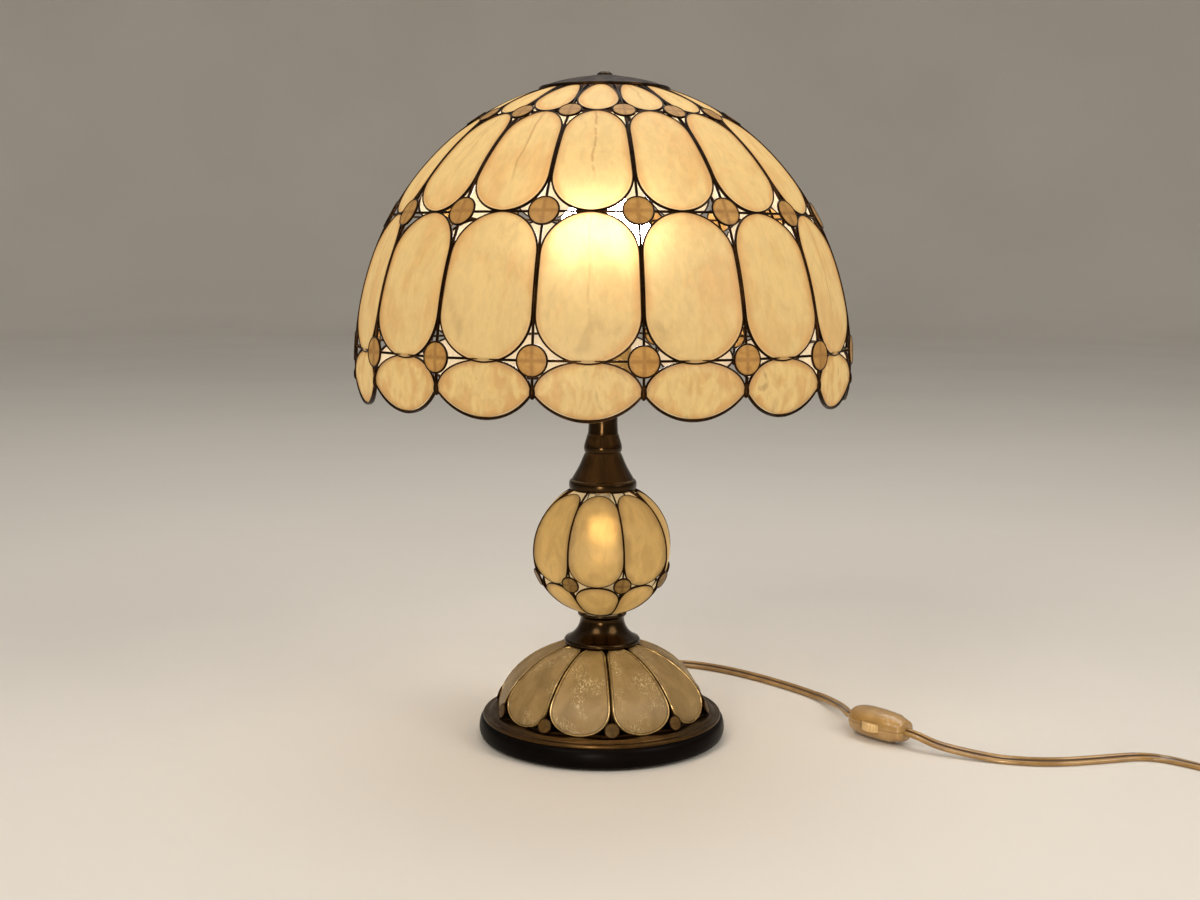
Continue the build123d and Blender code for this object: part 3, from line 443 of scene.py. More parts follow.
def ringSurface(dome, z, steps=8):
    # Ring: a wire that goes straight from rib to rib
    radius, height = ellipseSpot(dome, ellipseAngle(dome, z))
    count = dome["sides"]
    turns = np.radians(dome["turn"] - 90 + np.arange(count) * 360 / count)
    corners = np.stack([radius * np.cos(turns), radius * np.sin(turns), 0 * turns + height], -1)
    t = np.linspace(0, 1, steps, endpoint=False)[None, :, None]
    path = (corners[:, None] * (1 - t) + np.roll(corners, -1, 0)[:, None] * t).reshape(-1, 3)
    outward = unit(path * [1, 1, 0])
    return {"points": sweptRows(path, outward, roundProfile(dome["ringWidth"] / 2), True), "joined": True}


def wiresOf(dome, low, rings, steps=48):
    # Ribs from one height up to the last ring, and the rings
    return [ribSurface(dome, low, rings[-1], steps)] + [ringSurface(dome, z) for z in rings]


rondel = {
    "thickness": 0.85, "lift": 0.15, "columns": 40, "rimSides": 8, "rimDepth": 1.3,
    "radii": [0.05, 0.3, 0.6, 0.85, 0.97, 1.0, 1.0, 0.97, 0.5, 0.05],        # shares of its radius
    "heights": [1.3, 1.28, 1.2, 1.08, 1.0, 0.85, 0.15, 0.0, 0.0, 0.0],       # shares of its thickness
}


def rondelSurfaces(dome, z, size, seed, rimRadius=0.55):
    # Rondel: a disc on the outside of a crossing, a little domed: the face rises by 1 - (r / radius) squared.
    # Its rim is a wire round its edge.
    angle = ellipseAngle(dome, z)
    out, up = ellipseNormal(dome, angle)
    radius, height = ellipseSpot(dome, angle)
    r = size * np.array(rondel["radii"])[:, None]
    h = rondel["thickness"] * np.array(rondel["heights"])[:, None]
    turns = circle(rondel["columns"])

    def onCrossing(across, along, lift):
        lift = lift + rondel["lift"]
        return frontPoints(across, radius + lift * out - along * up, height + lift * up + along * out)

    face = onCrossing(r * np.cos(turns), r * np.sin(turns), h + 0 * turns)
    uv = np.stack([r * np.cos(turns), r * np.sin(turns)], -1) / size
    loops = circle(rondel["rimSides"])
    reach = size + rimRadius * np.cos(loops)
    rim = onCrossing(
        reach * np.cos(turns)[:, None], reach * np.sin(turns)[:, None],
        rondel["thickness"] / 2 + rimRadius * rondel["rimDepth"] * np.sin(loops) + 0 * turns[:, None],
    )
    tone = np.random.default_rng(seed).random(dome["sides"])[:, None, None]
    discs = {"points": roundAbout(dome, face), "uv": uv, "layers": {"tone": tone, "edge": 1 - r / size}}
    return discs, {"points": roundAbout(dome, rim), "joined": True}


# Materials

def freshMaterial(name):
    material = bpy.data.materials.new(name)
    material.use_nodes = True
    return material, material.node_tree, material.node_tree.nodes["Principled BSDF"]


def feed(tree, node, inputs):
    # Links or sets inputs of a node. A colour is given as red, green and blue.
    for key, value in inputs.items():
        socket = node.inputs[key]
        if isinstance(value, bpy.types.NodeSocket):
            tree.links.new(value, socket)
        else:
            socket.default_value = (*value, 1.0) if socket.type == "RGBA" else value
    return node


def addNode(tree, kind, inputs=None, **settings):
    node = tree.nodes.new(kind)
    for key, value in settings.items():
        setattr(node, key, value)
    return feed(tree, node, inputs or {})


def blendColours(tree, share, one, two, mode="MIX"):
    node = addNode(tree, "ShaderNodeMix", {0: share, 6: one, 7: two}, data_type="RGBA", blend_type=mode)
    return node.outputs[2]


def calculate(tree, operation, one, two=0.0, clamp=False):
    return addNode(tree, "ShaderNodeMath", {0: one, 1: two}, operation=operation, use_clamp=clamp).outputs[0]


def times(tree, one, two):
    return calculate(tree, "MULTIPLY", one, two)


def rangeOf(tree, value, low, high, toLow=0.0, toHigh=1.0):
    node = addNode(tree, "ShaderNodeMapRange", {
        "Value": value, "From Min": low, "From Max": high, "To Min": toLow, "To Max": toHigh,
    }, interpolation_type="SMOOTHSTEP")
    return node.outputs["Result"]


def noiseOf(tree, vector, scale, detail=4.0, rough=0.5, distortion=0.0):
    return addNode(tree, "ShaderNodeTexNoise", {
        "Vector": vector, "Scale": scale, "Detail": detail, "Roughness": rough, "Distortion": distortion,
    }).outputs["Fac"]


def stretched(tree, vector, across, along, turn=0.0):
    # A piece's map scaled across and along, and turned
    inputs = {"Vector": vector, "Scale": (across, along, 1.0), "Rotation": (0, 0, turn)}
    return addNode(tree, "ShaderNodeMapping", inputs).outputs[0]


def combined(tree, one, two, three):
    return addNode(tree, "ShaderNodeCombineXYZ", {0: one, 1: two, 2: three}).outputs[0]


def separated(tree, vector):
    return addNode(tree, "ShaderNodeSeparateXYZ", {0: vector}).outputs


def dimmed(tree, shade, share):
    # Colour times a number
    return blendColours(tree, 1.0, shade, combined(tree, share, share, share), "MULTIPLY")


def objectSpot(tree):
    return addNode(tree, "ShaderNodeTexCoord").outputs["Object"]


def ownMap(tree):
    return addNode(tree, "ShaderNodeUVMap", uv_map="pieceMap").outputs[0]


def attributeOf(tree, name):
    return addNode(tree, "ShaderNodeAttribute", attribute_name=name).outputs["Fac"]


def shiftedMap(tree, tone, across, along):
    # A piece's map, moved by its tone, so that no two panes have the same clouds
    shift = combined(tree, times(tree, tone, across), times(tree, tone, along), tone)
    return addNode(tree, "ShaderNodeVectorMath", {0: ownMap(tree), 1: shift}, operation="ADD").outputs[0]


def bumpFrom(tree, height, strength, distance):
    bump = addNode(tree, "ShaderNodeBump", {"Height": height, "Strength": strength, "Distance": distance})
    return bump.outputs[0]


litUsual = {
    "cloudScale": 4.6, "stains": 0.3, "vein": 0.8, "line": 0.7, "body": 0.33, "paler": 0.07,
    "roughness": 0.42, "through": 0.5, "tilt": 0.5,
}


def litShell(name, look):
    # Thin shell pane with the light behind it: cloudy, streaked along its length, deeper towards its edge.
    # The bulb's light through it is painted in as emission by its glow layer, as a paler painted glow on its
    # inside, and with a painted highlight, a pale line just inside its rim, strongest at its foot
    material, tree, shader = freshMaterial(name)
    look = dict(litUsual, **look)
    tone, edge, along, glow = (attributeOf(tree, key) for key in ("tone", "edge", "along", "glow"))
    spot = shiftedMap(tree, tone, 17.0, 29.0)
    clouds = noiseOf(tree, stretched(tree, spot, 1.0, 0.55), look["cloudScale"], rough=0.55, distortion=0.7)
    fibres = noiseOf(tree, stretched(tree, spot, 1.0, 0.35, look["tilt"]), 34.0, rough=0.6, distortion=0.7)
    flecks = noiseOf(tree, stretched(tree, spot, 1.0, 0.7), 12.0, rough=0.6, distortion=0.8)
    rim = rangeOf(tree, edge, 0.0, look["edgeWidth"], 1.0, 0.0)
    uneven = calculate(tree, "ADD", rim, rangeOf(tree, clouds, 0.32, 0.66, look["cloudDepth"], -0.4), True)
    shade = blendColours(tree, uneven, look["core"], look["amber"])
    deep = times(tree, rangeOf(tree, edge, 0.0, look["edgeWidth"] * 0.4, 1.0, 0.0), look["edgeDepth"])
    shade = blendColours(tree, deep, shade, look["brown"])
    stains = times(tree, rangeOf(tree, clouds, 0.58, 0.76), look["stains"])
    shade = blendColours(tree, stains, shade, look["brown"])
    grain = calculate(tree, "ADD", fibres, flecks)
    grain = rangeOf(tree, grain, 0.8, 1.2, look["grainHigh"], look["grainLow"])
    shade = dimmed(tree, shade, grain)
    # Vein: a thin dark line that wanders along the middle, in stretches, on the panes with a high tone
    across = separated(tree, ownMap(tree))[0]
    wander = calculate(tree, "SUBTRACT", noiseOf(tree, stretched(tree, spot, 0.0, 1.0), 7.0), 0.5)
    vein = calculate(tree, "ABSOLUTE", calculate(tree, "ADD", across, times(tree, wander, 0.055)))
    stretches = rangeOf(tree, noiseOf(tree, stretched(tree, spot, 0.3, 1.0), 6.0, rough=0.7), 0.36, 0.46)
    stretches = times(tree, stretches, rangeOf(tree, tone, 0.4, 0.6))
    stretches = times(tree, stretches, rangeOf(tree, along, 0.2, 0.4))
    vein = times(tree, rangeOf(tree, vein, 0.001, 0.011, 1.0, 0.0), stretches)
    shade = blendColours(tree, times(tree, vein, look["vein"]), shade, look["veinTint"])
    # Painted highlight: a pale line just inside the rim, stronger towards the pane's foot
    line = times(tree, rangeOf(tree, edge, 0.07, 0.09), rangeOf(tree, edge, 0.1, 0.16, 1.0, 0.0))
    line = times(tree, line, rangeOf(tree, along, 0.05, 0.5, look["line"], look["line"] * 0.15))
    shade = blendColours(tree, line, shade, look["rimHighlight"])
    # Painted light: the bulb's light through the shell, painted in as emission from the glow layer, paler on
    # the inside face
    lit = blendColours(tree, attributeOf(tree, "inner"), dimmed(tree, shade, glow), look["inside"])
    paler = blendColours(tree, look["paler"], shade, (1.0, 1.0, 1.0))
    feed(tree, shader, {
        "Emission Color": lit, "Emission Strength": look["strength"],
        "Base Color": blendColours(tree, 1.0, paler, [look["body"]] * 3, "MULTIPLY"),
        "Roughness": look["roughness"], "Transmission Weight": look["through"], "IOR": 1.4,
        "Specular IOR Level": 0.05,
        "Normal": bumpFrom(tree, calculate(tree, "ADD", fibres, clouds), 0.25, 0.0004),
    })
    return material


def unlitShell(name, look):
    # Shell pane by the studio's light alone: pearly, with painted highlights, pale glints in patches, and a
    # painted shade line just inside its rim
    material, tree, shader = freshMaterial(name)
    spot = shiftedMap(tree, attributeOf(tree, "tone"), 13.0, 23.0)
    clouds = noiseOf(tree, stretched(tree, spot, 1.0, 0.7), 6.0, 3.0, 0.55, 0.8)
    wisps = noiseOf(tree, stretched(tree, spot, 1.0, 0.6), 46.0, 6.0, 0.72, 2.4)
    patches = noiseOf(tree, spot, 5.0, 2.0, 0.5, 0.4)
    shade = blendColours(tree, rangeOf(tree, clouds, 0.3, 0.7), look["dark"], look["pale"])
    # Painted highlights: pale glint colour in patches
    glints = times(tree, rangeOf(tree, wisps, 0.5, 0.66), rangeOf(tree, patches, 0.48, 0.66, 0.06, 1.0))
    shade = blendColours(tree, times(tree, glints, look["glints"]), shade, look["glint"])
    # Painted shade: a dark line just inside the rim, where it meets the pane
    groove = rangeOf(tree, attributeOf(tree, "edge"), 0.06, 0.15, look["edgeDepth"], 0.0)
    feed(tree, shader, {
        "Base Color": blendColours(tree, groove, shade, look["groove"]),
        "Roughness": rangeOf(tree, wisps, 0.4, 0.7, 0.48, 0.2), "Specular IOR Level": 0.35,
        "Coat Weight": 0.06, "Coat Roughness": 0.2, "Normal": bumpFrom(tree, wisps, 0.5, 0.0006),
    })
    return material


def rondelShell(name, look):
    # Small shell disc: mottled, with a painted shadow of the crossing wires behind it, a soft dark cross, and
    # the light through it painted in as emission
    material, tree, shader = freshMaterial(name)
    spot = objectSpot(tree)
    clouds = noiseOf(tree, spot, 160.0, 5.0, 0.6, 0.8)
    flecks = noiseOf(tree, spot, 900.0, 4.0, 0.6, 0.5)
    shade = blendColours(tree, rangeOf(tree, clouds, 0.32, 0.68), look["dark"], look["pale"])
    shade = blendColours(tree, rangeOf(tree, flecks, 0.55, 0.75, 0.0, 0.35), shade, look["glint"])
    # Painted shadow: a soft dark cross where the crossing wires behind the disc block the light
    across, along, _ = separated(tree, ownMap(tree))
    near = calculate(tree, "MINIMUM", calculate(tree, "ABSOLUTE", across), calculate(tree, "ABSOLUTE", along))
    shade = blendColours(tree, rangeOf(tree, near, 0.03, 0.22, look["cross"], 0.0), shade, look["wire"])
    edge = rangeOf(tree, attributeOf(tree, "edge"), 0.0, 0.2, look["edgeDepth"], 0.0)
    shade = blendColours(tree, edge, shade, look["wire"])
    deeper = rangeOf(tree, attributeOf(tree, "tone"), 0.0, 1.0, 0.0, 0.3)
    shade = blendColours(tree, deeper, shade, look["dark"])
    # Painted light: the disc's colour also glows as emission
    feed(tree, shader, {
        "Base Color": shade, "Emission Color": shade, "Emission Strength": look["strength"], "Roughness": 0.4,
        "Specular IOR Level": 0.2, "Normal": bumpFrom(tree, clouds, 0.3, 0.0003),
    })
    return material


def finish(name, look, inputs):
    # Surface with clouds between a dark and a bright colour, also in its gloss, and fine specks of a third
    material, tree, shader = freshMaterial(name)
    spot = objectSpot(tree)
    broad = noiseOf(tree, spot, look["broadScale"], *look["broadNoise"])
    fine = noiseOf(tree, spot, look["fineScale"], 3.0, 0.6)
    shade = blendColours(tree, rangeOf(tree, broad, 0.3, 0.7), look["dark"], look["bright"])
    specks = rangeOf(tree, fine, look["fineFrom"], 0.8, 0.0, look["fine"])
    smooth, rough = look["rough"]
    feed(tree, shader, {
        "Base Color": blendColours(tree, specks, shade, look.get("worn", look["bright"])),
        "Roughness": rangeOf(tree, broad, 0.25, 0.75, rough, smooth),
        "Normal": bumpFrom(tree, fine, look["bump"], look["bumpDepth"]), **inputs,
    })
    return material


metalUsual = {
    "broadScale": 60.0, "broadNoise": (5.0, 0.6, 0.4), "fineScale": 700.0, "fineFrom": 0.45, "fine": 0.3,
    "metallic": 1.0, "bump": 0.12, "bumpDepth": 0.0002,
}
paintUsual = {
    "broadScale": 40.0, "broadNoise": (4.0, 0.5, 0.0), "fineScale": 1200.0, "fineFrom": 0.5, "fine": 0.15,
    "specular": 0.5, "coat": 0.0, "coatRough": 0.2, "bump": 0.1, "bumpDepth": 0.0002,
}


def metal(name, look):
    # Metal with a darker film over it in clouds, and worn specks
    look = dict(metalUsual, **look)
    return finish(name, look, {"Metallic": look["metallic"]})


def paint(name, look):
    # Plain moulded, painted or fired surface
    look = dict(paintUsual, **look)
    return finish(name, look, {
        "IOR": 1.46, "Specular IOR Level": look["specular"], "Coat Weight": look["coat"],
        "Coat Roughness": look["coatRough"],
    })


def shadedGroovePaint(name, look):
    # The cord's skin, with painted shade darkening the groove between its two cores, which are half a turn of
    # its own map apart
    material = paint(name, look)
    tree = material.node_tree
    base = tree.nodes["Principled BSDF"].inputs["Base Color"]
    around = separated(tree, ownMap(tree))[0]
    # Painted shade: darker in the groove between the cores
    groove = rangeOf(tree, calculate(tree, "PINGPONG", around, 0.25), 0.02, 0.07, 1.0, 0.0)
    tree.links.new(blendColours(tree, groove, base.links[0].from_socket, look["groove"]), base)
    return material


def litGlass(name, look):
    # Frosted bulb with its light on, brightest round the height of its filament
    material, tree, shader = freshMaterial(name)
    frost = noiseOf(tree, objectSpot(tree), 90.0, 3.0)
    shade = blendColours(tree, rangeOf(tree, frost, 0.3, 0.7), look["dark"], look["bright"])
    height = separated(tree, objectSpot(tree))[2]
    away = calculate(tree, "ABSOLUTE", calculate(tree, "SUBTRACT", height, look["filament"]))
    bright, dim = look["strength"], look["strength"] * look["rest"]
    feed(tree, shader, {
        "Base Color": shade, "Emission Color": shade, "Roughness": 0.5,
        "Emission Strength": rangeOf(tree, away, look["reach"] * 0.3, look["reach"], bright, dim),
    })
    return material


shellShade = litShell("shell_pane_shade", {
    "core": (0.87, 0.58, 0.205), "amber": (0.78, 0.41, 0.11), "brown": (0.32, 0.12, 0.026),
    "veinTint": (0.55, 0.27, 0.07), "rimHighlight": (1.0, 0.72, 0.34), "inside": (1.2, 1.1, 0.85),
    "edgeWidth": 0.6, "edgeDepth": 0.38, "cloudDepth": 0.55, "grainLow": 0.93, "grainHigh": 1.03,
    "strength": 0.455,
})
shellScallop = litShell("shell_pane_scallop", {
    "core": (0.80, 0.54, 0.19), "amber": (0.66, 0.35, 0.095), "brown": (0.26, 0.10, 0.03),
    "veinTint": (0.5, 0.25, 0.07), "rimHighlight": (1.0, 0.84, 0.5), "inside": (1.0, 0.85, 0.6),
    "edgeWidth": 0.8, "edgeDepth": 0.55, "cloudDepth": 0.8, "cloudScale": 11.0, "stains": 0.5,
    "grainLow": 0.94, "grainHigh": 1.04, "strength": 0.56, "vein": 0.0,
})
shellGlobe = litShell("shell_pane_globe", {
    "core": (0.65, 0.39, 0.11), "amber": (0.47, 0.26, 0.066), "brown": (0.17, 0.085, 0.022),
    "veinTint": (0.3, 0.15, 0.04), "rimHighlight": (0.95, 0.75, 0.38), "inside": (1.0, 0.8, 0.45),
    "edgeWidth": 0.6, "edgeDepth": 0.4, "cloudDepth": 0.6, "cloudScale": 9.0, "grainLow": 0.95,
    "grainHigh": 1.04, "strength": 0.38, "vein": 0.0, "line": 0.15,
})
shellBase = unlitShell("shell_base", {
    "dark": (0.21, 0.13, 0.04), "pale": (0.315, 0.20, 0.072), "glint": (0.88, 0.70, 0.40),
    "groove": (0.05, 0.027, 0.009), "glints": 0.65, "edgeDepth": 0.7,
})
rondelLit = rondelShell("shell_rondel_shade", {
    "dark": (0.29, 0.145, 0.036), "pale": (0.40, 0.22, 0.062), "glint": (0.52, 0.32, 0.11),
    "wire": (0.15, 0.065, 0.02), "cross": 0.5, "edgeDepth": 0.5, "strength": 0.30,
})
rondelGlobe = rondelShell("shell_rondel_globe", {
    "dark": (0.13, 0.07, 0.016), "pale": (0.24, 0.14, 0.036), "glint": (0.34, 0.23, 0.08),
    "wire": (0.06, 0.025, 0.007), "cross": 0.5, "edgeDepth": 0.6, "strength": 0.25,
})
rondelBase = rondelShell("shell_rondel_base", {
    "dark": (0.065, 0.034, 0.006), "pale": (0.12, 0.06, 0.009), "glint": (0.20, 0.12, 0.03),
    "wire": (0.04, 0.02, 0.006), "cross": 0.4, "edgeDepth": 0.6, "strength": 0.02,
})
bronze = metal("bronze", {
    "dark": (0.026, 0.0145, 0.006), "bright": (0.046, 0.026, 0.011), "worn": (0.11, 0.07, 0.03),
    "rough": (0.17, 0.27), "fine": 0.08, "broadScale": 25.0, "bump": 0.03,
})
bronzeWire = metal("bronze_wire", {
    "dark": (0.010, 0.0045, 0.0018), "bright": (0.034, 0.015, 0.005), "worn": (0.14, 0.07, 0.024),
    "rough": (0.34, 0.55), "broadScale": 140.0, "fine": 0.15,
})
# Painted highlight: the rims' bronze in a paler, less metallic copy, so that they read as gold glints
bronzeGlint = metal("bronze_glint", {
    "dark": (0.20, 0.115, 0.035), "bright": (0.52, 0.34, 0.12), "worn": (0.78, 0.56, 0.24),
    "rough": (0.2, 0.36), "broadScale": 160.0, "metallic": 0.45,
})
bronzeFlange = metal("bronze_flange", {
    "dark": (0.06, 0.031, 0.010), "bright": (0.105, 0.057, 0.02), "worn": (0.20, 0.12, 0.045),
    "rough": (0.3, 0.42), "fine": 0.15, "bump": 0.05,
})
baseBlack = paint("base_black", {
    "dark": (0.0015, 0.001, 0.0008), "bright": (0.004, 0.0025, 0.002), "rough": (0.3, 0.42),
    "specular": 0.04, "fine": 0.25,
})
feltDark = paint("felt", {
    "dark": (0.015, 0.013, 0.012), "bright": (0.05, 0.045, 0.04), "rough": (0.9, 1.0),
    "fine": 0.8, "fineScale": 1800.0, "bump": 0.8, "bumpDepth": 0.0006,
})
steel = metal("steel", {
    "dark": (0.30, 0.30, 0.31), "bright": (0.52, 0.52, 0.53), "worn": (0.66, 0.66, 0.67),
    "rough": (0.25, 0.42),
})
brass = metal("brass_plain", {
    "dark": (0.40, 0.25, 0.08), "bright": (0.66, 0.45, 0.17), "worn": (0.78, 0.58, 0.27),
    "rough": (0.2, 0.38),
})
porcelain = paint("porcelain", {
    "dark": (0.66, 0.63, 0.57), "bright": (0.80, 0.78, 0.73), "rough": (0.15, 0.25), "coat": 0.5,
})
linerCard = paint("liner_card", {
    "dark": (0.20, 0.15, 0.10), "bright": (0.34, 0.27, 0.19), "rough": (0.8, 0.9), "fine": 0.5,
})
bulbMetal = metal("bulb_metal", {
    "dark": (0.42, 0.41, 0.38), "bright": (0.62, 0.61, 0.58), "worn": (0.74, 0.73, 0.70),
    "rough": (0.22, 0.36),
})
bulbLight = litGlass("bulb_glass", {
    "dark": (1.0, 0.94, 0.90), "bright": (1.0, 0.98, 1.0), "strength": 60.0,
    "filament": 0.315, "reach": 0.023, "rest": 0.03,
})
smallBulbLight = litGlass("bulb_glass_small", {
    "dark": (1.0, 0.80, 0.46), "bright": (1.0, 0.90, 0.60), "strength": 16.0,
    "filament": 0.134, "reach": 0.012, "rest": 0.25,
})
cordGold = shadedGroovePaint("cord_gold", {
    "dark": (0.26, 0.14, 0.036), "bright": (0.40, 0.23, 0.07), "rough": (0.16, 0.26),
    "groove": (0.07, 0.032, 0.008), "broadScale": 60.0, "coat": 0.6, "coatRough": 0.08,
    "fine": 0.1, "bump": 0.03,
})
switchGold = paint("switch_gold", {
    "dark": (0.32, 0.18, 0.055), "bright": (0.46, 0.28, 0.10), "rough": (0.16, 0.28),
    "broadScale": 60.0, "coat": 0.7, "coatRough": 0.1, "bump": 0.04,
})
wheelPale = paint("wheel_pale", {
    "dark": (0.50, 0.32, 0.13), "bright": (0.66, 0.45, 0.20), "rough": (0.3, 0.45),
})
floorPale = paint("floor_pale", {
    "dark": (0.72, 0.67, 0.60), "bright": (0.76, 0.71, 0.64), "rough": (0.6, 0.75),
    "broadScale": 1.5, "fineScale": 60.0, "bump": 0.0,
})
print("materials made:", len(bpy.data.materials))


# Cord: two flat lengths with a groove between their two cores

upward = np.array([0.0, 0.0, 1.0])
cord = {
    "width": 5.6,
    "thickness": 3.0,
    "coreTurn": 145,        # degrees to both sides that each core is round
    "table": 1.5,           # height of its middle where it lies
    "exit": (0.0, 98.7, 6.7),
    "switchMiddle": (174.0, -7.8, 9.5),
    "heading": (0.628, -0.779),
    "switchHalf": 20.5,
    "coilCentre": (412.0, -88.0),
    "coilRadius": 36.0,
    "coilPitch": 6.2,
    "coilLayer": 3.6,
    "coilStart": -150.0,
    "coilLead": 5.6,
    "coilInward": 5,        # half turns before the inner turn, and after it
    "pointsInHalfTurn": 8,
    "splineGain": 1.008,    # a spline runs inside its control points by this share of the coil's radius
}


def splinePoints(name, route):
    # Points along a NURBS spline whose control points are the route's, in millimetres
    curve = bpy.data.curves.new(name, "CURVE")
    curve.dimensions = "3D"
    spline = curve.splines.new("NURBS")
    spline.points.add(len(route) - 1)
    weighted = np.concatenate([np.asarray(route, float) * mm, np.ones((len(route), 1))], 1)
    spline.points.foreach_set("co", weighted.ravel())
    spline.order_u = 3
    spline.use_endpoint_u = True
    spline.resolution_u = 8
    holder = bpy.data.objects.new(name, curve)
    mesh = bpy.data.meshes.new_from_object(holder)
    spots = np.zeros(len(mesh.vertices) * 3)
    mesh.vertices.foreach_get("co", spots)
    bpy.data.objects.remove(holder)
    bpy.data.curves.remove(curve)
    bpy.data.meshes.remove(mesh)
    return spots.reshape(-1, 3)


def twinProfile():
    # Outline across the cord: two round cores side by side, each an ellipse that stops at their groove
    core = cord["width"] / 4
    turns = np.radians(np.linspace(-cord["coreTurn"], cord["coreTurn"], 13))
    x, y = core + core * np.cos(turns), cord["thickness"] / 2 * np.sin(turns)
    return np.concatenate([np.stack([x, y], -1), np.stack([-x, -y], -1)])


def twinCord(name, route, outward=upward, leans=None):
    # Flat cord along a route, its wide side level, or leaning over by degrees that are given at shares of its
    # length. Where it leans on the table it is lifted by the rise of its lower core.
    path = splinePoints(name, route) / mm
    up = np.broadcast_to(outward, path.shape)
    if leans:
        along = lengthsAlong(path)
        lean = np.radians(np.interp(along / along[-1], *zip(*leans)))[:, None]
        ahead = unit(np.gradient(path, axis=0) * [1, 1, 0])
        up = np.cos(lean) * up + np.sin(lean) * np.cross(ahead, upward)
        path = path + upward * np.maximum(cord["width"] / 4 * np.sin(lean) + table - path[:, 2:], 0)
    rows = sweptRows(path, up, twinProfile())
    along = lengthsAlong(path)
    around = np.linspace(0, 1, rows.shape[1], endpoint=False)
    uv = np.stack(np.broadcast_arrays(around[None, :], along[:, None] / mapUnit), -1)
    return gridPiece(name, [{"points": rows, "uv": uv}]), path * mm, along[-1] * mm


def coilRoute():
    # Coil: a spiral whose radius goes down by half a pitch each half turn, a faster step into and out of an
    # inner turn that climbs, and the same way out on the upper layer
    pitch, inward = cord["coilPitch"], cord["coilInward"]
    steps = [-pitch / 2] * inward + [-pitch, 0.0, pitch] + [pitch / 2] * inward
    radii = cord["coilRadius"] + np.concatenate([[0], np.cumsum(steps)])
    halves = np.arange(len(radii))
    heights = np.where(halves <= inward + 1, 0.0, cord["coilLayer"])
    turns = np.arange((len(radii) - 1) * cord["pointsInHalfTurn"] + 1) / cord["pointsInHalfTurn"]
    radius = np.interp(turns, halves, radii) * cord["splineGain"]
    height = np.interp(turns, halves, heights) + cord["table"]
    angle = np.radians(cord["coilStart"] + 180 * turns)
    x, y = cord["coilCentre"]
    return np.stack([x + radius * np.cos(angle), y + radius * np.sin(angle), height], -1)


_, exitY, exitZ = cord["exit"]
table = cord["table"]
switchMiddle = np.array(cord["switchMiddle"])
heading = np.array([*cord["heading"], 0.0])
switchEntry = switchMiddle - heading * cord["switchHalf"]
switchWayOut = switchMiddle + heading * cord["switchHalf"]
routeToSwitch = [
    (0, exitY - 6, exitZ), (0, exitY + 8, exitZ), (1.2, exitY + 18, exitZ - 2.6), (5, exitY + 29, table),
    (15, 142, table), (33, 160, table), (60, 164, table), (87, 149, table), (113, 124, table),
    (136, 95, table), (148, 76, 3.0), (152.4, 61, 4.4), (155, 48, 5.8), (156.8, 36, 7.2), (157.4, 24, 8.6),
    tuple(switchEntry - heading * 5), tuple(switchEntry + heading * 4),
]
leansToSwitch = [(0, 0), (0.12, 0), (0.3, 50), (0.85, 50), (1, 30)]
cordToSwitch, pathToSwitch, lengthToSwitch = twinCord(
    "cord_lamp_to_switch", routeToSwitch, leans=leansToSwitch,
)
fit(cordToSwitch, cordGold, "cord_gold", "cord_to_switch")

coil = coilRoute()
wayOut = np.array([-0.5, sqrt(0.75), 0.0])
coilEntry = coil[0] + wayOut * cord["coilLead"]
coilEnd = coil[-1] + wayOut * cord["coilLead"]
plugShift = np.array([2.6, 1.3, 7.5 - coilEnd[2]])      # sideways and up, from the coil to the plug
plugEntry = coilEnd + wayOut * 38 + plugShift
routeToPlug = np.concatenate([
    [switchWayOut - heading * 4, switchWayOut + heading * 8, (201, -39, 6.6), (215, -46, 4.4),
     (238, -56, 2.4), (265, -61, table), (297, -54.5, table), (328, -45.5, table), (350, -62, table),
     coilEntry + wayOut * 20, coilEntry],
    coil,
    [coilEnd, coilEnd + wayOut * 9, coilEnd + wayOut * 19 + np.array([1.6, 0.8, plugShift[2] / 2]),
     coilEnd + wayOut * 29 + plugShift, plugEntry, plugEntry + wayOut * 4],
])
leansToPlug = [(0, 30), (0.03, 50), (0.1, 45), (0.16, 0), (1, 0)]
cordToPlug, pathToPlug, lengthToPlug = twinCord("cord_switch_to_plug", routeToPlug, leans=leansToPlug)
fit(cordToPlug, cordGold, "cord_gold", "cord_to_coil", "cord_coil", "cord_to_plug")

routeInside = [
    (0, 98, 6.7), (0, 60, 6.7), (0, 52, 5.2), (0, 44, 3.2), (0, 36, 3.1), (0, 8, 3.1), (0, 2.2, 3.3),
    (0, 0.4, 5.6), (0, 0, 9), (0, 0, 60), (0, 0, 140), (0, 0, 222.4),
]
cordInside, _, _ = twinCord("cord_inside_base", routeInside, (1.0, 0.0, 0.0))
fit(cordInside, cordGold, "cord_gold", "cord_inside")
print("cords:", round(lengthToSwitch, 3), round(lengthToPlug, 3))


# Strain relief: a taper with ridges round it

bushing = {
    "root": 67.7, "side": 76.9, "tip": 98.7, "neck": 4.2, "rootRadius": 4.9, "tipRadius": 3.7, "ridges": 6,
    "grooveDepth": 0.45,
}


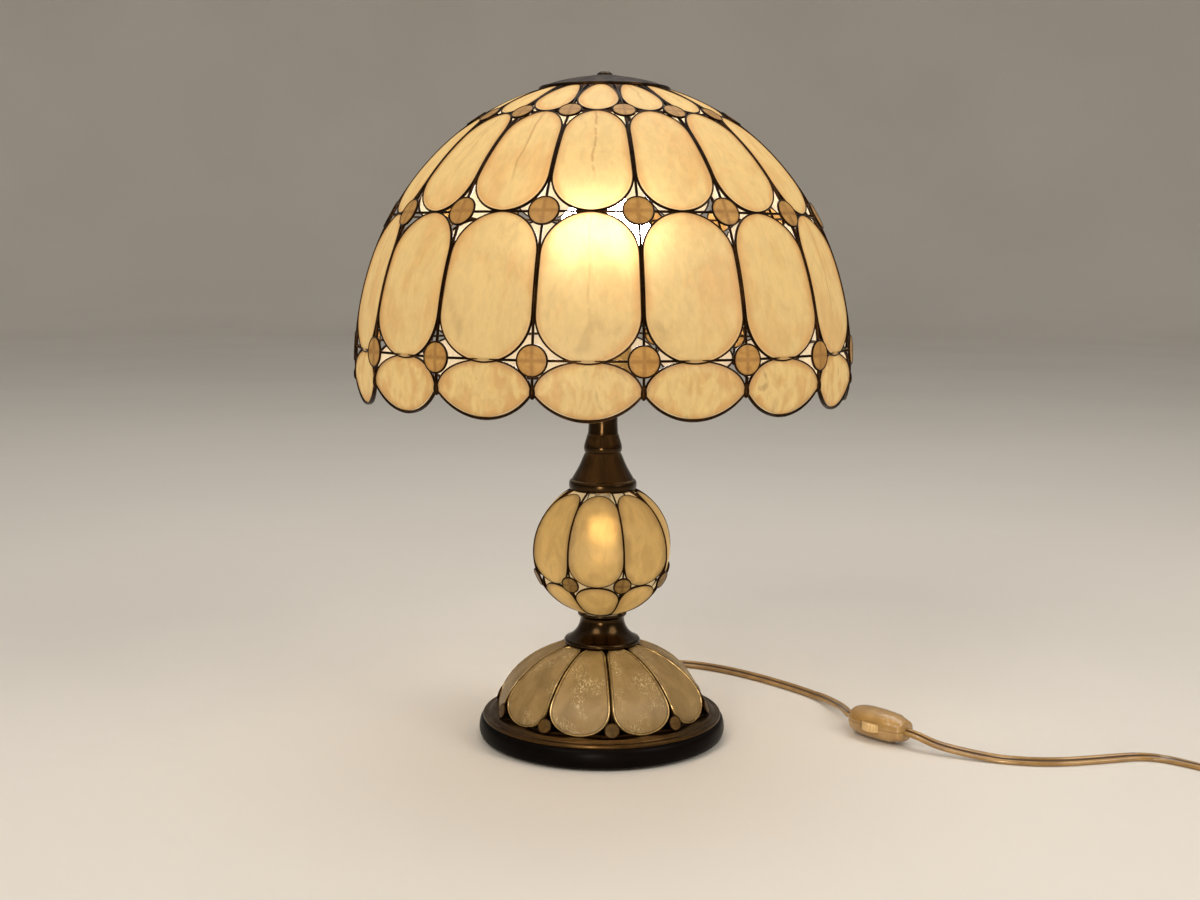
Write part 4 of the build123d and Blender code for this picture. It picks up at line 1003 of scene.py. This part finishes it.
def bushingSurface():
    # Radius along the taper: a straight line from root to tip, less a ridge's groove, a raised cosine
    root, side, tip = (bushing[key] for key in ("root", "side", "tip"))
    rootRadius, tipRadius, neck = (bushing[key] for key in ("rootRadius", "tipRadius", "neck"))
    y = np.linspace(side + 4, tip, 61)
    share = (y - y[0]) / (y[-1] - y[0])
    taper = rootRadius + (tipRadius - rootRadius) * share
    groove = bushing["grooveDepth"] * (0.5 - 0.5 * np.cos(2 * pi * bushing["ridges"] * share)) ** 2
    lead = [(eye, root), (neck, root), (neck, side), (rootRadius - 0.3, side), (rootRadius, side + 0.4)]
    end = [(tipRadius - 0.4, tip + 0.05), (eye, tip + 0.05)]
    rows = turnedRows(np.vstack([lead, np.stack([taper - groove, y], -1), end]), 40)
    return {"points": np.stack([rows[..., 0], rows[..., 2], exitZ + rows[..., 1]], -1)}


addPiece("cord_strain_relief", [bushingSurface()], switchGold, "cord_gold", "cord_bushing")


# Rotary switch on the cord

switch = {
    "radius": 10.6,
    "flat": 9.3,
    "squareness": 2.3,
    "seam": 0.12,
    "wheelRadius": 8.6,
    "wheelHeight": 5.0,
    "wheelOut": 4.6,
    "room": 0.4,            # between the wheel and the shells
    "notches": 24,
    "notchDepth": 0.5,
    # Share of the full section at shares of the half length, and the rows of points
    "swell": [(-1, 0.58), (-0.992, 0.66), (-0.965, 0.73), (-0.92, 0.80), (-0.84, 0.87), (-0.68, 0.94),
              (-0.4, 0.99), (0, 1.0), (0.4, 0.97), (0.66, 0.89), (0.86, 0.77), (0.975, 0.67), (1.0, 0.58)],
    "rows": [-1, -0.992, -0.965, -0.92, -0.86, -0.78, -0.68, -0.55, -0.4, -0.2, 0, 0.2, 0.4, 0.52, 0.6,
             0.66, 0.7, 0.74, 0.78, 0.82, 0.86, 0.9, 0.94, 0.975, 0.992, 1.0],
}


def alongWay(start, way, x, y, z):
    # Points from along, sideways and up of a level direction to the row frame
    spots = np.stack(np.broadcast_arrays(x, y, z), -1)
    return start + spots[..., :1] * way + spots[..., 1:2] * np.cross(upward, way) + spots[..., 2:] * upward


def shellHalf(side):
    # Half a barrel: at a share of the length the section is a superellipse, whose size swells from the ends
    # to the middle, with grip ridges near the far end
    along = np.array(switch["rows"])
    ridge = np.where((along > 0.58) & (along < 0.92), 0.02 * np.cos(along * 50 * pi), 0.0)
    swell = (np.interp(along, *zip(*switch["swell"])) + ridge)[:, None]
    y, height = superellipse(np.linspace(0, pi, 25), switch["radius"], switch["flat"], switch["squareness"])
    height[[0, -1]] = 0
    z = side * np.where(height > 0, swell * (height + switch["seam"]), switch["seam"])
    return {"points": alongWay(switchMiddle, heading, along[:, None] * cord["switchHalf"], swell * y, z)}


def cutAway(piece, cutter):
    # Takes the cutter's volume out of the piece's mesh, which stays at the origin
    modifier = piece.modifiers.new("room", "BOOLEAN")
    modifier.operation = "DIFFERENCE"
    modifier.object = cutter
    modifier.solver = "EXACT"
    bpy.context.view_layer.update()
    evaluated = piece.evaluated_get(bpy.context.evaluated_depsgraph_get())
    made = bpy.data.meshes.new_from_object(evaluated)
    piece.modifiers.clear()
    old = piece.data
    piece.data = made
    bpy.data.meshes.remove(old)
    return piece


def wheelSurface(room, count, notches=0, depth=0.0):
    # Wheel: a turned disc whose rim goes in at each notch by a raised cosine, with room for the cutter
    radius, half = switch["wheelRadius"] + room, (switch["wheelHeight"] + room) / 2
    runs = [[(eye, -half), (radius, -half)], [(radius, half)], [(eye, half)]]
    outline = outlineOf(runs, closed=False, ease=0.5)
    rows = turnedRows(outline, count)
    cut = depth * (0.5 + 0.5 * np.cos(notches * circle(count))) ** 3
    outer = np.clip(outline[:, 0] / radius - 0.8, 0, 0.2)[:, None] / 0.2
    shrink = 1 - outer * cut / radius
    x, y = rows[..., 0] * shrink, rows[..., 1] * shrink - switch["wheelOut"]
    return {"points": alongWay(switchMiddle, heading, x, y, rows[..., 2])}


cutter = gridPiece("switch_room", [wheelSurface(switch["room"], 64)], smooth=False)
for name, side, node in (("upper", 1, "top"), ("lower", -1, "bottom")):
    shell = cutAway(gridPiece("switch_" + name + "_shell", [shellHalf(side)]), cutter)
    fit(shell, switchGold, "switch_gold", "switch_" + node + "_shell")
bpy.data.objects.remove(cutter)
wheel = wheelSurface(0.0, 240, switch["notches"], switch["notchDepth"])
addPiece("switch_notched_wheel", [wheel], wheelPale, "wheel_pale", "switch_wheel")


# Plug

plug = {
    "squareness": 4.5,
    "rows": [-1.0, 0, 4, 8, 11, 14, 17, 20, 24, 30, 34.8, 35.6, 36.0],
    # Width and height at lengths from the cord's entry
    "sections": [(-1, 7.0, 5.4), (0, 8.0, 6.0), (9, 10.5, 8.0), (15, 20.5, 12.9), (20, 25, 15),
                 (34.8, 25, 15), (35.6, 24.6, 14.6), (36, 23.4, 13.4)],
}


def plugSurface():
    # Body: superellipse sections along the way, narrow where the cord goes in and full at the face
    lengths, widths, heights = zip(*plug["sections"])
    x = np.array(plug["rows"])[:, None]
    halfWidth, halfHeight = np.interp(x, lengths, widths) / 2, np.interp(x, lengths, heights) / 2
    sections = superellipse(circle(48), halfWidth, halfHeight, plug["squareness"])
    return {"points": alongWay(plugEntry, wayOut, x, *sections)}


addPiece("plug_moulded", [plugSurface()], switchGold, "cord_gold", "plug_body")
print("switch and plug made")


# Foot

foot = {
    "low": 1.5, "height": 12.0, "radius": 76.7, "topRadius": 74.2, "footRadius": 75.4,
    "pocketRadius": 17.0, "pocketDepth": 9.0, "bore": 5.1, "feltRadius": 71.0, "feltBore": 18.0,
}
low, top, bore, r = foot["low"], foot["low"] + foot["height"], foot["bore"], foot["footRadius"]
pocket, pocketTop = foot["pocketRadius"], foot["low"] + foot["pocketDepth"]
addTurned("base_turned", [
    [(pocket, pocketTop)],
    [(pocket, low)],
    [(r - 1.6, low)],
    [(r + 0.1, low + 0.9), (76.5, low + 3.4), (foot["radius"], low + 5.6), (76.4, low + 8.4),
     (75.6, low + 10.8), (foot["topRadius"], top)],
    [(bore, top)],
    [(bore, pocketTop)],
], baseBlack, "base_black", "base_body", count=160, ease=0.5)
addTurned("base_felt_ring", [
    [(foot["feltRadius"], 0)], [(foot["feltRadius"], low)],
    [(foot["feltBore"], low)], [(foot["feltBore"], 0)],
], feltDark, "felt", "base_felt", count=96)

flange = {"radius": 74.2, "crown": 68.6, "bore": 60.0, "height": 3.7, "lip": 1.6, "gap": 0.1}
low, r, bore, crown = top + flange["gap"], flange["radius"], flange["bore"], flange["crown"]
lip, top = low + flange["lip"], low + flange["height"]
addTurned("base_turned_flange", [
    [(r, low)],
    [(r + 0.15, low + 0.8), (r, lip)],
    [(r - 0.5, lip + 0.45), (r - 1.2, lip + 0.25)],
    [(r - 3.2, lip + 0.35), (r - 4.0, lip + 1.1), (crown, top)],
    [(bore, top)],
    [(bore, low)],
], bronzeFlange, "bronze", "base_flange", count=160, ease=0.2)
print("foot made")


# Base dome

basePetal = dict(
    paneUsual, low=levels["baseFoot"], high=levels["baseEye"], lowRound=17.0, highRound=8.0, middle=12,
    lowGap=-0.4, highGap=2.2, tuck=1.05, rimWidth=1.35, rimDepth=2.3, thickness=1.2, crown=0.7,
    squareness=2.1, light=(0, 0, 0), lightUnit=1.0,
)
addPiece("base_shell_petals", [paneSurfaces(baseDome, basePetal, 31)], shellBase, "shell_base", "base_petals")
addPiece("base_petal_rims", [rimSurface(baseDome, basePetal)], bronzeGlint, "bronze_wire", body="stand")
baseWires = wiresOf(baseDome, levels["baseFoot"], [levels["baseFoot"], levels["baseEye"]])
addPiece("base_wires", baseWires, bronzeWire, "bronze_wire", "base_frame")
discs, rims = rondelSurfaces(baseDome, levels["baseRondels"], 4.3, 41, 0.45)
addPiece("base_shell_rondels", [discs], rondelBase, "shell_rondel", "base_rondels")
addPiece("base_rondel_rims", [rims], bronzeWire, "bronze_wire", body="stand")
print("base dome made")


# Collar, globe and neck

collar = {
    "skirt": 59.0, "foot": 23.7, "waist": 13.7, "lip": 15.2, "top": 78.409, "dish": 13.4, "recess": 20.8,
    "dishZ": 76.661, "recessZ": 60.6, "bore": 5.1,
}
z, r, lip, dish, recess, bore = (collar[key] for key in ("skirt", "foot", "lip", "dish", "recess", "bore"))
addTurned("collar_turned", [
    [(dish, collar["top"])],
    [(dish, collar["dishZ"])],
    [(bore, collar["dishZ"])],
    [(bore, collar["recessZ"])],
    [(recess, collar["recessZ"])],
    [(recess + 0.6, z - 0.3)],
    [(r - 0.7, z), (r, z + 1.3), (r - 0.1, z + 2.6), (r - 0.9, z + 3.6)],
    [(r - 1.7, z + 3.8)],
    [(20.2, z + 4.9), (17.8, z + 6.8), (15.9, z + 9.1), (14.5, z + 12.0), (collar["waist"], z + 15.0),
     (13.9, z + 17.0), (lip, z + 18.4)],
    [(lip, collar["top"])],
], bronze, "bronze", "collar", ease=0.25)

globePetal = dict(
    paneUsual, low=levels["globeSplit"], high=levels["globeHead"], lowRound=17.0, highRound=13.0,
    squareness=2.3, middle=7, tuck=0.15, rimWidth=0.75, rimDepth=1.7, crown=0.8, lowGap=0.5, highGap=6.0,
    light=(0, -19, 116), lightUnit=1 / 42 ** 2, softness=0.3,
)
globeOval = dict(
    globePetal, low=levels["globeFoot"], high=levels["globeSplit"], lowRound=11.0, highRound=12.0,
    lowGap=0.3, highGap=0.5, tuck=0.1, middle=4,
)
petals, ovals = paneSurfaces(globe, globePetal, 51), paneSurfaces(globe, globeOval, 52)
addPiece("globe_shell_petals", [petals], shellGlobe, "shell_pane", "globe_petals")
addPiece("globe_shell_ovals", [ovals], shellGlobe, "shell_pane", "globe_ovals")
globeRims = [rimSurface(globe, globePetal), rimSurface(globe, globeOval)]
addPiece("globe_pane_rims", globeRims, bronzeWire, "bronze_wire", body="stand")
globeWires = wiresOf(globe, levels["globeFoot"], [levels["globeFoot"], levels["globeHead"]])
addPiece("globe_wires", globeWires, bronzeWire, "bronze_wire", "globe_frame")
discs, rims = rondelSurfaces(globe, levels["globeRondels"], 5.3, 61, 0.5)
addPiece("globe_shell_rondels", [discs], rondelGlobe, "shell_rondel", "globe_rondels")
addPiece("globe_rondel_rims", [rims], bronzeWire, "bronze_wire", body="stand")

neck = {
    "skirt": 155.2, "foot": 20.9, "step": 18.5, "bead": 11.75, "top": 8.9, "head": 210.347, "bore": 5.1,
    "dishZ": 159.246,
}
z, top, head, bore = (neck[key] for key in ("skirt", "top", "head", "bore"))
addTurned("neck_turned", [
    [(bore, head)],
    [(bore, neck["dishZ"])],
    [(18.0, neck["dishZ"])],
    [(18.2, z)],
    [(19.8, z + 0.4), (20.7, z + 1.8), (neck["foot"], z + 3.6), (20.7, z + 5.4), (20.0, z + 6.6)],
    [(19.2, z + 6.9)],
    [(neck["step"], z + 8.2), (17.6, z + 9.8)],
    [(15.7, z + 13.1), (13.9, z + 16.7), (12.5, z + 20.1), (11.3, z + 22.8)],
    [(10.8, z + 23.5)],
    [(11.4, z + 24.2), (neck["bead"], z + 26.2), (11.5, z + 28.2), (10.9, z + 30.4), (10.2, z + 32.6),
     (9.8, z + 34.2)],
    [(9.35, z + 34.9)],
    [(9.1, z + 37.4), (top, z + 41.6)],
    [(top, head)],
], bronze, "bronze", "neck", ease=0.15)


def ballArc(radius, height, lowest, count):
    # Outline of a ball from an angle below its middle up to just before its top
    arc = np.radians(np.linspace(lowest, 88, count))
    return np.stack([radius * np.cos(arc), height + radius * np.sin(arc)], -1)


globeLight = {"offset": -19.0, "low": 99.69, "radius": 9.0, "cap": 6.5, "capHeight": 16.0, "centre": 35.0}
low, capRadius = globeLight["low"], globeLight["cap"]
smallBulb = np.vstack([
    [(eye, low), (capRadius - 0.3, low), (capRadius, low + 0.4), (capRadius, low + globeLight["capHeight"])],
    ballArc(globeLight["radius"], low + globeLight["centre"], -35, 16),
])
smallBulb = turnedSurface(smallBulb, False, 48, (0, globeLight["offset"]))
addPiece("globe_small_bulb", [smallBulb], smallBulbLight, "bulb_glass", "globe_bulb")
print("globe made")


# Lampholder and bulb

holder = {
    "low": 212.147, "radius": 18.0, "wall": 0.9, "cupHeight": 13.0, "shellHeight": 40.0,
    "lift": 5.0, "bore": 5.1,
}
z, r, wall, bore = (holder[key] for key in ("low", "radius", "wall", "bore"))
low, top = r * 0.6, z + holder["cupHeight"]
addTurned("lampholder_spun_cup", [
    [(low, z)],
    [(r * 0.8, z + 1.6), (r - 1.0, z + 3.8), (r, z + 6.0)],
    [(r, z + 9.5), (r + 0.25, z + 10.2), (r, z + 10.9), (r, top)],
    [(r - wall, top)],
    [(r - wall, z + 5.0)],
    [(low - wall, z + wall)],
    [(bore, z + wall)],
    [(bore, z)],
], brass, "brass_plain", "lampholder_cup", count=96, ease=0.2)
r, low, top = r - wall - 0.1, z + holder["lift"], z + holder["lift"] + holder["shellHeight"]
addTurned("lampholder_spun_shell", [
    [(r, z + 20), (r - 0.5, z + 21), (r, z + 22), (r, z + 24), (r - 0.5, z + 25), (r, z + 26), (r, top - 5),
     (r + 0.15, top - 1.5), (r, top)],
    [(r - wall, top)],
    [(r - wall, low)],
    [(r, low)],
], brass, "brass_plain", "lampholder_shell", count=96, ease=0.2, steps=4)

bulb = {
    "radius": 30.0, "height": 78.0, "pitch": 3.6, "threadRadius": 12.6, "threadDepth": 0.38,
    "threadLow": 6, "threadHigh": 21,
}
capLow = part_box("bulb_cap")[0].z / mm
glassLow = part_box("bulb_glass")[0].z / mm


def threaded(outline, depths, pitch, count):
    # Turned surface with a thread: a cosine of the turn less the height over the pitch is added to its radius
    turns, height = circle(count), outline[:, 1:]
    radius = outline[:, :1] + depths[:, None] * np.cos(turns - 2 * pi * height / pitch)
    return np.stack([radius * np.cos(turns), radius * np.sin(turns), height + 0 * turns], -1)


def capSurface():
    # Screw cap: its thread fades in and out over a millimetre
    low, high = bulb["threadLow"], bulb["threadHigh"]
    height = np.linspace(low, high, 61)
    outline = np.vstack([
        [(3.6, 0), (4.0, 0.2), (11.0, 4.2), (12.4, 5.2)],
        np.stack([0 * height + bulb["threadRadius"], height], -1),
        [(12.7, 22), (13.0, 25.6), (12.6, 26)],
    ])
    fade = np.clip(np.minimum(outline[:, 1] - low + 0.5, high + 0.5 - outline[:, 1]), 0, 1)
    return {"points": threaded(outline, bulb["threadDepth"] * fade, bulb["pitch"], 96) + upward * capLow}


addPiece("bulb_screw_cap", [capSurface()], bulbMetal, "bulb_metal", "bulb_cap")
glass = np.vstack([
    [(eye, glassLow), (12.4, glassLow)],
    smoothRun([
        (12.6, glassLow + 0.3), (13.4, glassLow + 8), (16.5, glassLow + 18), (21.6, glassLow + 26.2),
    ])[:-1],
    ballArc(bulb["radius"], glassLow + bulb["height"] - bulb["radius"], -38, 26),
])
addPiece("bulb_frosted_glass", [turnedSurface(glass, False, 96)], bulbLight, "bulb_glass", "bulb_glass")
print("bulb made")


# Harp, stud and finial

harp = {
    "span": 24.0, "foot": 226.147, "rise": 173.6, "halfWidth": 54.0, "wire": 2.0, "sleeve": 3.6,
    "sleeveBore": 2.1, "shoulder": 6.5, "shoulderZ": 401.847, "thread": 2.95, "threadDepth": 0.13,
    "threadPitch": 0.9,
}


def harpSurface():
    # Half the harp's line from foot to crown, as points of half width and rise, then mirrored
    span, wide, rise = harp["span"], harp["halfWidth"], harp["rise"]
    half = smoothRun([
        (span, 0), (span, 10), (25.4, 19), (29.6, 27.5), (38, 43), (47.5, 61), (52.2, 74), (wide - 0.6, 90),
        (wide - 0.9, 112), (wide - 2.2, 128), (48.6, 139), (40.5, 148.4), (29.5, 158.3), (18.5, 168.2),
        (14.2, 171.6), (9.6, rise - 0.1), (5.0, rise), (0.0, rise),
    ], 5)
    line = np.concatenate([half, (half * [-1, 1])[::-1][1:]])
    path = np.stack([0 * line[:, 0], line[:, 0], line[:, 1] + harp["foot"]], -1)
    outward = np.broadcast_to([1.0, 0.0, 0.0], path.shape)
    return {"points": sweptRows(path, outward, roundProfile(harp["wire"], sides=12))}


addPiece("harp_bent_wire", [harpSurface()], bronze, "bronze", "harp_wire")
low, high = (corner.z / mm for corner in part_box("harp_sleeves"))
r, bore = harp["sleeve"], harp["sleeveBore"]
sleeve = outlineOf([
    [(r, low)],
    [(3.3, low + 2.2), (3.2, (low + high) / 2), (3.3, high - 2.2), (r, high)],
    [(bore, high)],
    [(bore, low)],
], ease=0.2)
sleeves = [turnedSurface(sleeve, True, 32, (0, side * harp["span"])) for side in (-1, 1)]
addPiece("harp_turned_sleeves", sleeves, brass, "brass_plain", "harp_sleeves")


def studSurface():
    # Stud: a turned shoulder, and a thread above it
    z, r = harp["shoulderZ"], harp["shoulder"]
    heights = np.linspace(z + 3.2, z + 5.0, 16)
    outline = np.vstack([
        [(eye, z), (r - 0.4, z), (r, z + 0.4), (r, z + 2.6), (r - 0.4, z + 3.0), (2.9, z + 3.0)],
        np.stack([0 * heights + harp["thread"], heights], -1),
        [(2.6, z + 5.2), (eye, z + 5.3)],
    ])
    inThread = (outline[:, 1] > z + 3.3) & (outline[:, 1] < z + 4.9)
    return {"points": threaded(outline, harp["threadDepth"] * inThread, harp["threadPitch"], 48)}


addPiece("harp_threaded_stud", [studSurface()], brass, "brass_plain", "harp_stud")

finial = {"low": 405.6, "radius": 4.8, "height": 2.8, "bore": 3.2, "boreTop": 407.4}
z, r, bore = (finial[key] for key in ("low", "radius", "bore"))
addTurned("finial_turned", [
    [(eye, finial["boreTop"]), (bore, finial["boreTop"])],
    [(bore, z)],
    [(r - 0.3, z)],
    [(r, z + 0.4), (r - 0.1, z + 1.0), (r - 0.8, z + 1.7), (2.6, z + 2.5), (eye, z + finial["height"])],
], bronze, "bronze", "finial", closed=False, count=48, ease=0.15)
print("harp made")


# Shade

shadeUsual = dict(paneUsual, light=(0, 0, 311), lightUnit=1 / 149 ** 2)
shadePanes = {
    "crown": dict(shadeUsual, low=levels["ringA"], high=levels["crown"], lowRound=17, highRound=26,
                  tuck=0.75),
    "upper": dict(shadeUsual, low=levels["ringB"], high=levels["ringA"], lowRound=24, highRound=20,
                  tuck=0.8),
    "lower": dict(shadeUsual, low=levels["ringC"] - 1.9, high=levels["ringB"], lowRound=26, highRound=24,
                  tuck=0.8),
    "scallop": dict(shadeUsual, low=levels["hem"], high=levels["ringC"], corner=227.2, tuck=0.5, lowGap=0.9,
                    squareness=2.1, footRim=1.7, headDip=1.5),
}
paneNodes = {
    "crown": "shade_panes_crown", "upper": "shade_panes_upper", "lower": "shade_panes_lower",
    "scallop": "shade_scallops",
}
for seed, (row, pane) in enumerate(shadePanes.items()):
    shell = shellScallop if row == "scallop" else shellShade
    surfaces = [paneSurfaces(shade, pane, 71 + seed)]
    addPiece("shade_shell_" + row, surfaces, shell, "shell_pane", paneNodes[row])
rims = [rimSurface(shade, pane) for pane in shadePanes.values()]
addPiece("shade_pane_rims", rims, bronzeWire, "bronze_wire", body="shade")
wires = wiresOf(shade, levels["valley"], [levels[ring] for ring in ("ringC", "ringB", "ringA", "crown")], 72)
knob = {"middle": 227.3, "below": 3.1, "above": 5.2, "radius": 1.75}


def knobSurface():
    # Solder drop at a rib's end, longer above than below: its half width is the root of 1 - share squared
    angle = ellipseAngle(shade, knob["middle"])
    share = np.linspace(-0.97, 0.97, 11)
    reach = np.where(share > 0, knob["above"], knob["below"])
    angles = angle + share * reach / ellipseSpeed(shade, angle)
    halfWidth = np.sqrt(1 - share ** 2)[:, None, None]
    return alongRib(shade, angles, roundProfile(knob["radius"], sides=10), halfWidth)


wires.append(knobSurface())
addPiece("shade_wires", wires, bronzeWire, "bronze_wire", "shade_frame")
rondelRims = []
for letter, ring, size in (("a", "ringA", 6.5), ("b", "ringB", 8.3), ("c", "ringC", 8.3)):
    discs, rims = rondelSurfaces(shade, levels[ring], size, ord(letter))
    addPiece("shade_shell_rondels_" + letter, [discs], rondelLit, "shell_rondel", "shade_rondels_" + letter)
    rondelRims.append(rims)
addPiece("shade_rondel_rims", rondelRims, bronzeWire, "bronze_wire", body="shade")

cap = {"radius": 39.4, "low": 396.5, "top": 404.947, "wall": 0.6, "flat": 8.0, "bore": 3.2}
z, top, r, flat, bore = (cap[key] for key in ("low", "top", "radius", "flat", "bore"))
addTurned("shade_spun_cap", [
    [(r - 1.2, z)],
    [(r, z)],
    [(r + 0.2, z + 0.9), (r - 0.1, z + 1.8)],
    [(r - 1.0, z + 2.3), (r - 4, z + 3.0), (30, z + 4.8), (20, z + 7.0), (12, z + 8.3),
     (flat, top + cap["wall"])],
    [(bore, top + cap["wall"])],
    [(bore, top)],
    [(flat, top)],
    [(12, z + 7.7), (20, z + 6.3), (30, z + 4.0), (r - 4, z + 2.1), (r - 1.2, z + 0.9)],
], bronzeWire, "bronze", "shade_cap", ease=0.2)
print("shade made")


# CAD nodes whose shapes stay, with their own materials

keptNodes = {
    "rod": steel, "rod_nut": steel, "rod_washer": steel, "bracket_nuts": steel, "globe_bracket": steel,
    "globe_foot_plate": steel, "globe_head_plate": steel, "globe_lampholder": porcelain,
    "lampholder_core": porcelain, "lampholder_contact": brass, "lampholder_thread": brass,
    "lampholder_liner": linerCard, "harp_saddle": bronze, "switch_contacts": brass,
    "switch_screw": steel, "plug_blades": brass,
}
for name, material in keptNodes.items():
    node = frame["nodes"][name]
    node.data.materials.clear()
    node.data.materials.append(material)
bare = [name for name, node in frame["nodes"].items() if not node.hide_render and name not in keptNodes]
print("CAD nodes without a finish:", bare)


# Stage: a pale floor that curves up into a wall all round, soft light from above and both sides

studio = {"floor": 5.0, "bend": 1.6, "wall": 4.2, "columns": 96, "world": 0.40, "tint": (1.0, 0.985, 0.965)}
arc, columns = np.radians(np.linspace(0, 90, 13))[1:], studio["columns"]
sweep = np.concatenate([
    [(0.01, 0.0), (1.0, 0.0), (studio["floor"], 0.0)],
    np.stack([studio["floor"] + studio["bend"] * np.sin(arc), studio["bend"] * (1 - np.cos(arc))], -1),
    [(studio["floor"] + studio["bend"], studio["wall"])],
])
spots = turnedRows(sweep, columns).reshape(-1, 3)
column = np.arange(columns)
here, beside = column, (column + 1) % columns
row = (np.arange(len(sweep) - 1) * columns)[:, None]
faces = np.stack([row + here, row + beside, row + columns + beside, row + columns + here], -1).reshape(-1, 4)
stageMesh = bpy.data.meshes.new("stage")
stageMesh.from_pydata(spots.tolist(), [], faces.tolist() + [column[::-1].tolist()])
stageMesh.shade_smooth()
stageMesh.materials.append(floorPale)
stage = bpy.data.objects.new("stage", stageMesh)
bpy.context.scene.collection.objects.link(stage)

world = bpy.data.worlds.new("studio")
world.use_nodes = True
background = world.node_tree.nodes["Background"]
feed(world.node_tree, background, {"Color": studio["tint"], "Strength": studio["world"]})
bpy.context.scene.world = world

aim = np.array([0.0, 0.0, 0.2])
softboxes = {
    "key": {"place": (-0.9, -1.5, 1.5), "size": 1.0, "power": 16.0, "tint": (1.0, 0.96, 0.9)},
    "front": {"place": (-0.3, -1.8, 0.2), "size": 0.3, "power": 9.0, "tint": (1.0, 0.9, 0.75)},
    "fill": {"place": (1.3, -0.9, 1.1), "size": 1.0, "power": 12.0, "tint": (1.0, 0.96, 0.9)},
    "top": {"place": (0.1, 0.7, 2.0), "size": 1.6, "power": 12.0, "tint": (1.0, 0.98, 0.96)},
}
for name, box in softboxes.items():
    lamp = bpy.data.lights.new(name, "AREA")
    lamp.shape = "DISK"
    lamp.size = box["size"]
    lamp.energy = box["power"]
    lamp.color = box["tint"]
    lampObject = bpy.data.objects.new(name, lamp)
    ahead = unit(aim - box["place"])
    side = unit(np.cross(ahead, upward))
    turn = Matrix(np.stack([side, np.cross(side, ahead), -ahead], 1).tolist()).to_4x4()
    lampObject.matrix_world = Matrix.Translation(box["place"]) @ turn
    bpy.context.scene.collection.objects.link(lampObject)
print("stage and lights made")
